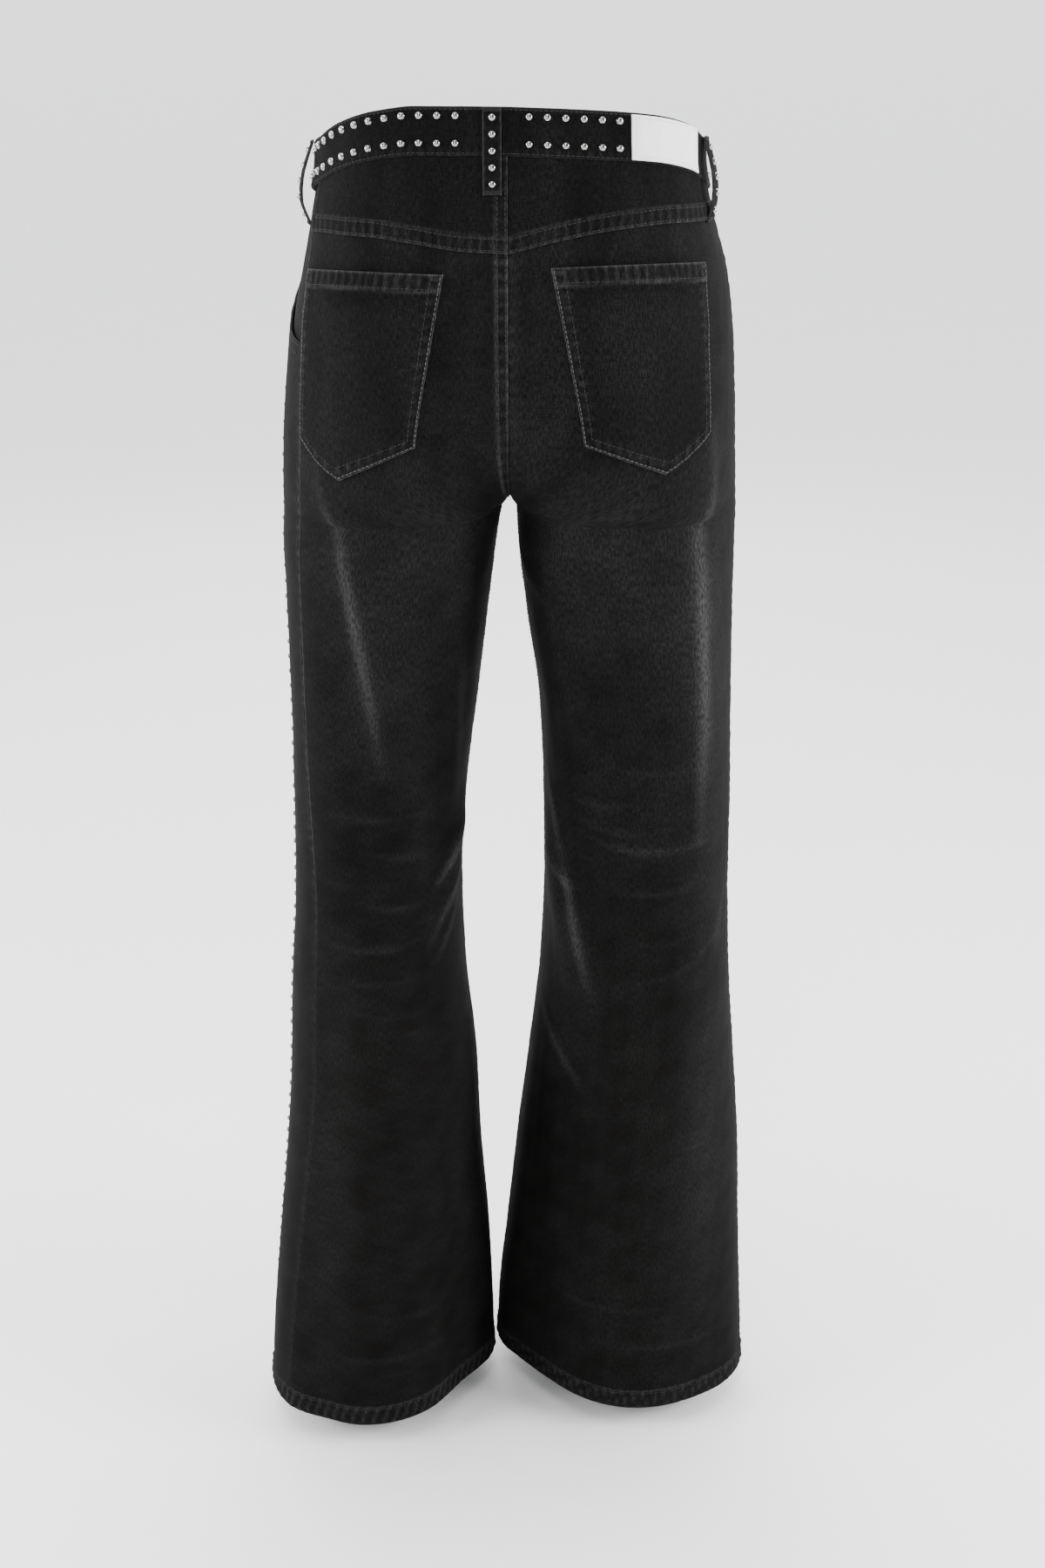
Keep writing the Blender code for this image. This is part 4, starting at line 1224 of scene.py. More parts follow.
@dataclass
class ClothPiece:
    """What every cut piece has in common: a wall between two offsets from the base surface."""

    finishes: Finishes
    node: str = ""
    held: str = "hung"
    rests_on: tuple[str, ...] = ()
    parted: bool = True
    edge_drop: float = 0.0004
    finish: Finish = Finish.DENIM
    is_sheet: bool = True
    allowance: float = 0.0

    def grid(self) -> tuple[Array, Array]:
        """The piece's own two coordinates at each point of its grid."""
        raise NotImplementedError

    def spot(self, first: Array, second: Array) -> tuple[Array, Array]:
        """Signed places and heights for the piece's own coordinates."""
        raise NotImplementedError

    def relief(self, first: Array, second: Array) -> tuple[Array, Array]:
        """The outer face's offset, and the cloth's wear with painted highlights and shade, from 0 to 1."""
        raise NotImplementedError

    def inner(self, first: Array, second: Array, lift: Array) -> Array:
        """The inner face's offset."""
        return lift - CLOTH

    def trace(self, first: Array, second: Array) -> tuple[Array, Array]:
        """A line on the outer face.

        Args:
            first: The first coordinate along the line.
            second: The second coordinate along the line.

        Returns:
            Its points and normals.
        """
        first, second = np.broadcast_arrays(np.asarray(first, float), np.asarray(second, float))
        lift, _ = self.relief(first, second)
        return SURFACE.locate(*self.spot(first, second), lift)

    def build(self) -> bpy.types.Object:
        """Makes the piece, in place of its CAD node.

        Returns:
            The piece.
        """
        first, second = self.grid()
        places, heights = self.spot(first, second)
        lift, wear = self.relief(first, second)
        rim = np.zeros(lift.shape)
        rim[0] = rim[-1] = rim[:, 0] = rim[:, -1] = self.edge_drop
        outer, _ = SURFACE.locate(places, heights, lift - rim)
        inner, _ = SURFACE.locate(places, heights, self.inner(first, second, lift) + 0.25 * rim)
        if self.parted:
            for skin in (outer, inner):
                self.part(skin, places, heights)
        # The third value carries wear, painted highlights on crests and, on the patch, painted shade
        carried = np.stack((places * SURFACE.fold_scale, heights, np.clip(wear, 0.0, 1.0)), axis=-1)
        made = make_object(
            "denim_" + self.node, np.concatenate((outer.reshape(-1, 3), inner.reshape(-1, 3))),
            wall_faces(*lift.shape), np.concatenate((carried, carried)),
            flip=bool(places[0, 0] > places[0, -1]),
        )
        self.finishes.dress(made, self.finish)
        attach(made, BODY)
        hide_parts(self.node)
        if self.is_sheet:
            self.declare(made, outer)
        return made

    def part(self, skin: Array, places: Array, heights: Array) -> None:
        """Keeps a face on its own side of the centre plane, with its end columns on the rise."""
        sign, _ = SURFACE.side_of(places)
        held = np.maximum(sign * skin[..., 0], SEAM_GAP / 2)
        meets = (held < RISE_REACH) & (heights > CROTCH_HEIGHT)
        meets[:, 1:-1] = False
        held = np.where(meets, SEAM_GAP / 2, held) * sign
        skin[..., 0] = np.where(heights > CROTCH_HEIGHT - 0.03, held, skin[..., 0])

    def declare(self, made: bpy.types.Object, outer: Array) -> None:
        """States the piece's cut, measured on its outer face, with its seam allowances.

        Args:
            made: The piece.
            outer: Its outer face's grid of points.
        """
        across = np.linalg.norm(np.diff(outer, axis=1), axis=-1).sum(axis=1).max()
        down = np.linalg.norm(np.diff(outer, axis=0), axis=-1).sum(axis=0).max()
        first = outer[:-1, 1:] - outer[:-1, :-1]
        second = outer[1:, :-1] - outer[:-1, :-1]
        area = np.linalg.norm(np.cross(first, second), axis=-1).sum()
        flat = (float(across + 2 * self.allowance), float(down + 2 * self.allowance))
        cut = float(min(area + 2 * self.allowance * (across + down), 0.999 * flat[0] * flat[1]))
        list(self.rests_on)
        LOG.info("%s: cut %.3f x %.3f m, %.4f m2", made.name, *flat, cut)


@dataclass
class LegPanel(ClothPiece):
    """The back or the front of one leg, with its hem folded up."""

    leg: Leg = Leg.LEFT
    face: Face = Face.BACK
    width: float = 0.262
    seam_ridge: float = 0.00045
    seam_pucker: float = 0.00030
    felled_width: float = 0.0085
    felled_ridge: float = 0.0008
    lap_depth: float = 0.030
    hem_ridge: float = 0.0008
    rope_pitch: float = 0.0088
    rope_depth: float = 0.00055
    crumple_depth: float = 0.00022
    # How much lighter crease and fold crests are painted, partly as wear and partly as painted highlights
    crease_wear: float = 150.0
    crease_height: float = 0.0010
    fold_wear: float = 14.0

    def __post_init__(self) -> None:
        """Names the piece and what it hangs from."""
        self.node = f"{self.face.name.lower()}_{self.leg.word}"
        self.allowance = 0.012
        above = "waistband" if self.face is Face.FRONT else "yoke_" + self.leg.word
        self.rests_on = (above,)

    def levels(self) -> Array:
        """Heights of the rows that run level round the leg, from the top down."""
        plain = np.arange(LEVEL_HEIGHT - CLOTH_STEP, HEM_HEIGHT + HEM_FOLD + 0.004, -CLOTH_STEP)
        crotch = np.arange(-0.222, -0.253, -0.001)
        hem = HEM_HEIGHT + HEM_FOLD - np.array((
            -0.0024, -0.0012, -0.0005, 0.0, 0.0005, 0.0012, 0.0024, 0.0045, 0.0070, 0.0095, 0.0120,
            0.0142, 0.0158, 0.0170, 0.0179, 0.0186, 0.0190,
        ))
        return np.unique(np.round(np.concatenate((plain, crotch, hem)), 5))[::-1]

    def grid(self) -> tuple[Array, Array]:
        """Places around and heights of the panel's points."""
        across = edged(self.width)
        if self.face is Face.FRONT:
            turns = np.linspace(math.pi / 2, 0.0, 36)
            starts, top = 1.0 + SCOOP_REACH * np.sin(turns), 1.0 - np.cos(turns)
            bottom, limit = SCOOP_BOTTOM, SCOOP_BOTTOM - 0.0025
        else:
            metres = np.concatenate((NEAR_EDGE[:7], np.arange(0.0084, 0.054, CLOTH_STEP), (0.056,)))
            top = 1.0 - metres / metres[-1]
            starts = np.zeros(len(top))
            bottom, limit = LEVEL_HEIGHT, LEVEL_HEIGHT - 0.0015
        stop = self.face.value + 1.0
        hung = starts[:, None] + (stop - starts[:, None]) * across
        edge = self.top_edge(hung)
        hung_heights = edge * top[:, None] + bottom * (1.0 - top[:, None])
        levels = self.levels()
        levels = levels[levels < limit]
        level = np.repeat((self.face.value + across)[None], len(levels), axis=0)
        level_heights = np.repeat(levels[:, None], len(across), axis=1)
        return np.vstack((hung, level)), np.vstack((hung_heights, level_heights))

    def top_edge(self, arounds: Array) -> Array:
        """Height of the panel's upper edge."""
        places = self.leg.value * arounds
        if self.face is Face.FRONT:
            return SURFACE.band_bottom(places) + SEAM_TUCK
        return SURFACE.yoke_seam(places) - SEAM_GAP / 2

    def spot(self, first: Array, second: Array) -> tuple[Array, Array]:
        """Signed places, with half a seam's gap at each side, and heights."""
        half_gap = SEAM_GAP / 2 / self.unit(second)
        low, high = self.face.value + half_gap, self.face.value + 1.0 - half_gap
        return self.leg.value * np.clip(first, low, high), second

    def unit(self, heights: Array) -> Array:
        """Metres from the inner to the outer side of the panel."""
        return SURFACE.unit(self.leg.value * (self.face.value + 0.5), heights)

    def inward(self, arounds: Array, heights: Array) -> Array:
        """Metres from the rise or the inseam."""
        turned_in = arounds if self.face is Face.BACK else 2.0 - arounds
        return turned_in * self.unit(heights)

    def relief(self, first: Array, second: Array) -> tuple[Array, Array]:
        """The outer face's offset, and the cloth's wear with painted highlights on its crests."""
        seed = 1.0 + self.leg.value + 2.0 * self.face.value
        unit = self.unit(second)
        outward, inward = np.abs(first - 1.0) * unit, self.inward(first, second)
        parts = [
            self.outseam(outward, second, seed),
            self.inner_seam(inward, second, seed),
            self.hem(first * unit, second, seed),
            self.surface_wear(first, second, unit, seed),
        ]
        if self.face is Face.FRONT:
            parts.append(self.mouth(first, second, unit))
        if self.face is Face.FRONT and self.leg is Leg.LEFT:
            parts.append(self.lap(first, second))
        return sum(part[0] for part in parts), sum(part[1] for part in parts)

    def lap(self, arounds: Array, heights: Array) -> tuple[Array, Array]:
        """Offset of the left front's top, which rises with the waistband's overlap, and no wear."""
        share = 1.0 - smooth_step(self.top_edge(arounds) - heights, 0.002, self.lap_depth)
        return band_rise(arounds) * share, np.zeros(np.shape(share))

    def outseam(self, outward: Array, heights: Array, seed: float) -> tuple[Array, Array]:
        """Offset and wear of the pressed outseam."""
        rib = ribs(heights, 0.0098, seed)
        lift = self.seam_ridge * bell(outward, 0.0035) + self.seam_pucker * rib * bell(outward, 0.006)
        fading = smooth_step(-heights, 0.45, 0.62)
        crisp = 0.46 - 0.38 * fading if self.face is Face.BACK else 0.10
        soft = 0.05 * bell(outward, 0.0055) * (1 + rib) * (1.0 - 0.7 * fading)
        return lift, (crisp + 0.10 * rib * (1.0 - fading)) * bell(outward, 0.0011) + soft

    def inner_seam(self, inward: Array, heights: Array, seed: float) -> tuple[Array, Array]:
        """Offset and wear of the inseam and, above it, of the felled rise."""
        rib = ribs(heights, 0.0088, seed + 4.0)
        below = smooth_step(-heights, 0.232, 0.250)
        lift = below * (0.0003 * bell(inward, 0.0035) + 0.0002 * rib * bell(inward, 0.006))
        wear = 0.30 * below * bell(inward, 0.0010)
        above = 1.0 - below
        if self.leg is Leg.LEFT:
            start, stop = self.felled_width - 0.0005, self.felled_width + 0.0009
            flat = above * (1.0 - smooth_step(inward, start, stop))
            lift += flat * (self.felled_ridge + 0.00026 * rib)
            wear += above * (0.55 + 0.25 * rib) * bell(inward, 0.0011)
            wear += above * 0.30 * bell(inward - self.felled_width, 0.0009)
            wear += 0.22 * flat * np.maximum(rib, 0.0)
        else:
            lift += above * 0.00022 * rib * bell(inward, 0.007)
            wear += above * 0.08 * (1 + rib) * bell(inward, 0.006)
        return lift, wear

    def hem(self, along: Array, heights: Array, seed: float) -> tuple[Array, Array]:
        """Offset and wear of the folded hem, roped by its sewing."""
        fold_top = HEM_HEIGHT + HEM_FOLD
        hem = 1.0 - smooth_step(heights, fold_top - 0.0008, fold_top + 0.0008)
        slant = (heights - HEM_HEIGHT) / HEM_FOLD * 0.75
        rope = np.sin(TAU * (along / self.rope_pitch + slant) + 1.1 * wobble(along * 45.0, seed))
        middle = smooth_step(heights, HEM_HEIGHT - 0.001, HEM_HEIGHT + 0.004)
        near_bottom = np.clip((heights - HEM_HEIGHT) / 0.0026, 0.0, 1.0)
        lift = hem * (self.hem_ridge + self.rope_depth * rope * middle)
        lift -= 0.0012 * (1.0 - near_bottom) ** 2
        lift += 0.0003 * ribs(along, 0.011, seed + 2.0) * bell(heights - fold_top - 0.003, 0.005)
        wear = hem * 0.18 * np.maximum(rope, 0.0) + 0.16 * bell(heights - fold_top, 0.0010)
        return lift, wear + 0.14 * bell(heights - HEM_HEIGHT, 0.0016)

    def surface_wear(
        self, arounds: Array, heights: Array, unit: Array, seed: float,
    ) -> tuple[Array, Array]:
        """Offset of the open cloth, with its wear and painted highlights: small creases, unevenness, and
        lighter ridges, partly faded and partly painted highlights.
        """
        creases = SURFACE.fold_lift(CREASES, self.leg, heights, arounds)
        folds = SURFACE.fold_lift(FOLDS, self.leg, heights, arounds)
        uneven = crumple(arounds * unit, heights, seed)
        # Crests of creases and folds are painted lighter, partly as faded cloth and partly as painted
        # highlights
        wear = self.crease_wear * np.maximum(creases, 0.0) * creases / self.crease_height
        wear = wear + self.fold_wear * np.maximum(folds, 0.0)
        # Lighter areas add washed-out cloth and painted highlights
        wear = wear + SURFACE.fold_lift(FADES_AND_HIGHLIGHTS, self.leg, heights, arounds) + 0.02 * (1 + uneven)
        return creases + self.crumple_depth * uneven, wear

    def mouth(self, arounds: Array, heights: Array, unit: Array) -> tuple[Array, Array]:
        """Offset and wear of the front pocket's mouth."""
        top = self.top_edge(arounds)
        share = np.clip((heights - SCOOP_BOTTOM) / (top - SCOOP_BOTTOM), 0.0, 1.0)
        start = 1.0 + SCOOP_REACH * np.sqrt(1.0 - (1.0 - share) ** 2)
        gap = (arounds - start) * unit
        beside = smooth_step(heights, SCOOP_BOTTOM - 0.002, SCOOP_BOTTOM + 0.002)
        rib = ribs(heights, 0.0090, 8.0)
        lift = beside * (0.0004 * bell(gap, 0.0035) + 0.0002 * rib * bell(gap, 0.006))
        return lift, beside * 0.50 * bell(gap, 0.0011)

    def seam_lines(self) -> list[tuple[Array, Array]]:
        """Lines of topstitching beside the panel's inner seam."""
        base = self.face.value
        heights = np.arange(-0.243, HEM_HEIGHT + HEM_FOLD, -0.002)
        inset = 0.0020 / self.unit(heights)
        arounds = inset if self.face is Face.BACK else base + 1.0 - inset
        return [self.trace(arounds, heights)]

    def rise_lines(self, top: float) -> list[tuple[Array, Array]]:
        """Two lines of topstitching beside the rise, from a height down to the crotch."""
        lines = []
        heights = np.arange(top, -0.2345, -0.001)
        for metres in (0.0018, self.felled_width - 0.0016):
            inset = metres / self.unit(heights)
            arounds = inset if self.face is Face.BACK else 2.0 - inset
            lines.append(self.trace(arounds, heights))
        return lines

    def hem_line(self) -> list[tuple[Array, Array]]:
        """The line of topstitching along the folded hem."""
        arounds = np.linspace(self.face.value + 0.004, self.face.value + 0.996, 160)
        return [self.trace(arounds, HEM_HEIGHT + HEM_FOLD - 0.0022)]

    def outseam_studs(self) -> tuple[Array, Array]:
        """The line of studs in front of the outseam, a little further from it at the hip.

        Returns:
            Each stud's foot and normal.
        """
        heights = np.arange(-0.150, HEM_HEIGHT + HEM_FOLD + 0.006, -0.0118)
        metres = Curve(SIDE_STUDS)(heights)
        return self.trace(1.0 + metres / self.unit(heights), heights)

    def mouth_lines(self) -> list[tuple[Array, Array]]:
        """Two lines of topstitching along the front pocket's mouth."""
        lines = []
        turns = np.linspace(0.02, math.pi / 2, 80)
        for metres in (0.0018, 0.0080):
            inset = metres / float(self.unit(SCOOP_BOTTOM))
            arounds = 1.0 + SCOOP_REACH * np.sin(turns) + inset
            share = 1.0 - np.cos(turns)
            top = self.top_edge(arounds)
            heights = top * share + SCOOP_BOTTOM * (1.0 - share) - metres * np.cos(turns)
            lines.append(self.trace(arounds, heights))
        return lines

    def fly_lines(self) -> list[tuple[Array, Array]]:
        """Two lines of topstitching that curve down the fly to the rise."""
        lines = []
        for reach in (0.034, 0.028):
            straight = np.linspace(float(SURFACE.band_bottom(1.9)) - 0.002, FLY_BOTTOM + reach, 40)
            turns = np.linspace(0.0, math.pi / 2, 30)[1:]
            heights = np.concatenate((straight, FLY_BOTTOM + reach - reach * np.sin(turns)))
            metres = np.concatenate((np.full(40, reach), np.maximum(reach * np.cos(turns), 0.001)))
            lines.append(self.trace(2.0 - metres / self.unit(heights), heights))
        return lines


@dataclass
class Yoke(ClothPiece):
    """The shaped piece between the waistband and a back panel, felled over the panel."""

    leg: Leg = Leg.LEFT
    overlap: float = 0.0052
    felled_height: float = 0.0104
    felled_ridge: float = 0.0011

    def __post_init__(self) -> None:
        """Names the piece."""
        self.node = "yoke_" + self.leg.word
        self.rests_on = ("waistband",)

    def grid(self) -> tuple[Array, Array]:
        """Places around and shares down of the yoke's points."""
        return tuple(np.meshgrid(edged(0.225, 0.0022), edged(0.060, 0.0016)))

    def top(self, arounds: Array) -> Array:
        """Height of the yoke's upper edge."""
        return SURFACE.band_bottom(self.leg.value * arounds) + SEAM_TUCK

    def bottom(self, arounds: Array) -> Array:
        """Height of the yoke's lower edge, which laps over the panel."""
        return SURFACE.yoke_seam(self.leg.value * arounds) - self.overlap

    def spot(self, first: Array, second: Array) -> tuple[Array, Array]:
        """Signed places and heights."""
        heights = self.top(first) * (1.0 - second) + self.bottom(first) * second
        return self.leg.value * first, heights

    def rise_above(self, first: Array, second: Array) -> Array:
        """Metres above the yoke's lower edge."""
        return (self.top(first) - self.bottom(first)) * (1.0 - second)

    def relief(self, first: Array, second: Array) -> tuple[Array, Array]:
        """The outer face's offset and the cloth's wear."""
        up = self.rise_above(first, second)
        heights = self.spot(first, second)[1]
        unit = SURFACE.unit(self.leg.value * 0.5, heights)
        along, outward = first * unit, (1.0 - first) * unit
        rib = ribs(along, 0.0072, 3.0 + self.leg.value)
        flat = 1.0 - smooth_step(up, self.felled_height - 0.0002, self.felled_height + 0.0012)
        lift = flat * (self.felled_ridge + 0.00026 * rib) + 0.00018 * crumple(along, heights, 5.0)
        wear = (0.30 + 0.15 * rib) * bell(up, 0.0010) + 0.14 * bell(up - self.felled_height, 0.0009)
        wear = wear + 0.15 * flat * np.maximum(rib, 0.0)
        down_rib = ribs(heights, 0.0088, 5.0)
        if self.leg is Leg.LEFT:
            band = 1.0 - smooth_step(along, 0.0080, 0.0094)
            lift = lift + band * (0.0008 + 0.00026 * down_rib)
            wear = wear + (0.26 + 0.14 * down_rib) * bell(along, 0.0011)
            wear = wear + 0.12 * bell(along - 0.0085, 0.0009) + 0.1 * band * np.maximum(down_rib, 0.0)
        near_band = self.top(first) - heights
        lift = lift + 0.0002 * ribs(along, 0.0085, 9.0) * bell(near_band, 0.005)
        lift = lift + 0.00045 * bell(outward, 0.0035)
        return lift, wear + 0.45 * bell(outward, 0.0011)

    def inner(self, first: Array, second: Array, lift: Array) -> Array:
        """The inner face's offset: clear of the panel where the yoke laps over it."""
        share = smooth_step(self.rise_above(first, second), self.overlap - 0.0002, self.overlap + 0.0010)
        return (lift - CLOTH) * share + (lift - 0.0008) * (1.0 - share)

    def felled_lines(self) -> list[tuple[Array, Array]]:
        """Two lines of topstitching along the yoke's felled seam."""
        lines = []
        arounds = np.linspace(0.004, 0.996, 160)
        depth = self.top(arounds) - self.bottom(arounds)
        for metres in (0.0017, self.felled_height - 0.0016):
            lines.append(self.trace(arounds, 1.0 - metres / depth))
        return lines

    def rise_lines(self) -> list[tuple[Array, Array]]:
        """Two lines of topstitching beside the centre back."""
        unit = float(SURFACE.unit(0.5, -0.03))
        shares = np.linspace(0.24, 0.99, 60)
        return [self.trace(metres / unit, shares) for metres in (0.0018, 0.0069)]


@dataclass
class BackPocket(ClothPiece):
    """A five-sided back pocket, laid on its panel, with its top edge folded into a hem."""

    leg: Leg = Leg.LEFT
    top_in: tuple[float, float] = (0.0, 0.0)
    top_out: tuple[float, float] = (0.0, 0.0)
    low_out: tuple[float, float] = (0.0, 0.0)
    tip: tuple[float, float] = (0.0, 0.0)
    low_in: tuple[float, float] = (0.0, 0.0)
    hem: float = 0.0110
    crown: float = 0.0020
    edge_press: float = 0.0008
    belly: float = 0.0006
    second_line: float = 0.0072
    wash: float = 0.05

    def __post_init__(self) -> None:
        """Names the piece and works out where its tip lies across it."""
        self.node = "pocket_back_" + self.leg.word
        self.rests_on = ("denim_back_" + self.leg.word,)
        self.held = "laid"
        self.tip_share = (self.tip[0] - self.low_in[0]) / (self.low_out[0] - self.low_in[0])

    def grid(self) -> tuple[Array, Array]:
        """Shares across and shares down of the pocket's points."""
        return tuple(np.meshgrid(edged(0.105, 0.0020), edged(0.125, 0.0020)))

    def laid(self, first: Array, second: Array) -> tuple[Array, Array]:
        """Metres from the centre back, and heights."""
        corners = (self.top_in, self.top_out, self.low_out, self.tip, self.low_in)
        top_in, top_out, low_out, tip, low_in = (np.array(corner) for corner in corners)
        share = np.asarray(first, float)[..., None]
        down = np.asarray(second, float)[..., None]
        crown = self.crown * np.sin(math.pi * share) * np.array((0.0, 1.0))
        upper = top_in + (top_out - top_in) * share + crown
        before = low_in + (tip - low_in) * share / self.tip_share
        after = tip + (low_out - tip) * (share - self.tip_share) / (1.0 - self.tip_share)
        lower = np.where(share <= self.tip_share, before, after)
        at = upper + (lower - upper) * down
        return at[..., 0], at[..., 1]

    def spot(self, first: Array, second: Array) -> tuple[Array, Array]:
        """Signed places and heights."""
        metres, heights = self.laid(first, second)
        return SURFACE.place_at(self.leg.value * metres, heights), heights

    def sizes(self, first: Array, second: Array) -> tuple[Array, Array]:
        """The pocket's width and height through a point."""
        zeros, ones = np.zeros(np.shape(first)), np.ones(np.shape(first))
        left, right = self.laid(zeros, second)[0], self.laid(ones, second)[0]
        top, bottom = self.laid(first, zeros)[1], self.laid(first, ones)[1]
        return right - left, top - bottom

    def relief(self, first: Array, second: Array) -> tuple[Array, Array]:
        """The outer face's offset, the cloth's wear, and a lighter middle below the hem."""
        width, height = self.sizes(first, second)
        across, down = first * width, second * height
        side = np.minimum(first, 1.0 - first) * width
        bottom = (1.0 - second) * height * 0.92
        edge = np.minimum(side, bottom)
        along = np.where(side < bottom, down, across)
        rib = ribs(along, 0.0078, 6.0 + self.leg.value)
        lift = POCKET_GAP + CLOTH - self.edge_press * (1.0 - smooth_step(edge, 0.0, 0.0060))
        lift = lift + self.belly * smooth_step(edge, 0.004, 0.045)
        lift = lift + 0.00026 * rib * bell(edge - 0.004, 0.0045)
        hem = 1.0 - smooth_step(down, self.hem - 0.0004, self.hem + 0.0008)
        hem_rib = ribs(across, 0.0066, 2.0 + self.leg.value)
        lift = lift + hem * (0.0005 + 0.00026 * hem_rib) + 0.0002 * crumple(across, down, 3.0)
        wear = (0.42 + 0.2 * rib) * bell(edge, 0.0010)
        wear = wear + 0.22 * np.maximum(rib, 0.0) * bell(edge - 0.006, 0.003)
        wear = wear + 0.26 * bell(down - self.hem, 0.0009) + 0.42 * bell(down, 0.0010)
        below_hem = smooth_step(down, self.hem, self.hem + 0.02)
        # Lighter across the pocket's middle, below its hem
        wash = self.wash * np.sin(math.pi * np.clip(first, 0.0, 1.0)) * below_hem
        return lift, wear + wash + 0.24 * hem * np.maximum(hem_rib, 0.0)

    def outline(self, metres: float) -> tuple[Array, Array]:
        """Shares along a line that runs inside the pocket's sides and bottom.

        Args:
            metres: How far inside it runs.

        Returns:
            Shares across and shares down.
        """
        width, height = 0.105, 0.125
        inset, lift = metres / width, 1.09 * metres / height
        down = np.linspace(0.012, 1.0 - lift, 70)
        left = np.linspace(inset, self.tip_share, 40)
        right = np.linspace(self.tip_share, 1.0 - inset, 30)
        first = np.concatenate((np.full(70, inset), left, right, np.full(70, 1.0 - inset)))
        second = np.concatenate((down, np.full(70, 1.0 - lift), down[::-1]))
        return first, second

    def edge_lines(self) -> list[tuple[Array, Array]]:
        """The line of topstitching at the pocket's edge."""
        return [self.trace(*self.outline(0.0016))]

    def inner_lines(self) -> list[tuple[Array, Array]]:
        """The second line of topstitching, and the hem's line."""
        shares = np.linspace(0.01, 0.99, 80)
        _, height = self.sizes(shares, np.zeros(80))
        hem = self.trace(shares, (self.hem - 0.0014) / height)
        return [self.trace(*self.outline(self.second_line)), hem]

    def tack_lines(self) -> list[tuple[Array, Array]]:
        """Short bar tacks at the two upper corners."""
        lines = []
        for start, stop in ((0.006, 0.075), (0.925, 0.994)):
            lines.append(self.trace(np.linspace(start, stop, 8), np.full(8, 0.028)))
        return lines


POCKETS = {
    Leg.LEFT: {
        "top_in": (0.0418, -0.067), "top_out": (0.1540, -0.070), "low_out": (0.1550, -0.179),
        "tip": (0.1230, -0.203), "low_in": (0.0644, -0.179),
    },
    Leg.RIGHT: {
        "top_in": (0.0279, -0.063), "top_out": (0.1420, -0.064), "low_out": (0.1460, -0.174),
        "tip": (0.1120, -0.198), "low_in": (0.0528, -0.178),
    },
}


@dataclass
class PocketFacing(ClothPiece):
    """The cloth seen in a front pocket's mouth, tucked under what surrounds the mouth.

    It reaches behind the band and under the front panel by metres, and under the yoke by a share
    of the yoke's width.
    """

    leg: Leg = Leg.LEFT
    tuck: float = 0.014
    behind_band: float = 0.005
    behind_yoke: float = 0.015

    def __post_init__(self) -> None:
        """Names the piece."""
        self.node = "pocket_facing_" + self.leg.word
        self.rests_on = ("waistband",)

    def grid(self) -> tuple[Array, Array]:
        """Shares across, and turns down the mouth's curve."""
        turns = np.concatenate((np.linspace(math.pi / 2, 0.0, 30), (-0.3, -0.54)))
        return tuple(np.meshgrid(edged(0.075, 0.0025), turns))

    def spot(self, first: Array, second: Array) -> tuple[Array, Array]:
        """Signed places and heights."""
        under = self.tuck / float(SURFACE.unit(self.leg.value * 1.5, SCOOP_BOTTOM))
        stop = 1.0 + SCOOP_REACH * np.sin(np.maximum(second, 0.0)) + under
        start = 1.0 - self.behind_yoke
        arounds = start + (stop - start) * first
        share = np.where(second >= 0.0, 1.0 - np.cos(second), second * 0.26)
        top = SURFACE.band_bottom(self.leg.value * arounds) + self.behind_band
        return self.leg.value * arounds, top * share + SCOOP_BOTTOM * (1.0 - share)

    def relief(self, first: Array, second: Array) -> tuple[Array, Array]:
        """The outer face's offset and the cloth's wear."""
        return np.full(first.shape, -CLOTH - FACING_GAP), np.full(first.shape, 0.01)


@dataclass
class FlyShield(ClothPiece):
    """The strip behind the closed front opening."""

    reach_left: float = 0.034
    reach_right: float = 0.012

    def __post_init__(self) -> None:
        """Names the piece."""
        self.node = "fly_shield"
        self.rests_on = ("waistband",)
        self.parted = False

    def grid(self) -> tuple[Array, Array]:
        """Places and shares down of the strip's points."""
        start = 2.0 - self.reach_left / float(SURFACE.unit(1.5, FLY_BOTTOM))
        stop = 2.0 + self.reach_right / float(SURFACE.unit(-1.5, FLY_BOTTOM))
        across = start + (stop - start) * edged(0.046, 0.0025, NEAR_EDGE[:5])
        return tuple(np.meshgrid(across, edged(0.082, 0.0025, NEAR_EDGE[:5])))

    def spot(self, first: Array, second: Array) -> tuple[Array, Array]:
        """Signed places and heights."""
        top = float(SURFACE.band_bottom(2.0)) - SEAM_GAP
        return first, top * (1.0 - second) + FLY_BOTTOM * second

    def relief(self, first: Array, second: Array) -> tuple[Array, Array]:
        """The outer face's offset and the cloth's wear."""
        return np.full(first.shape, -CLOTH - FACING_GAP), np.zeros(first.shape)


def band_rise(places: Array | float) -> Array:
    """How far the waistband's left end stands out to lie on its right end."""
    return (BAND_OUT + BAND_IN + LAID_GAP) * smooth_step(places, BAND_STEP_START, BAND_STEP_STOP)


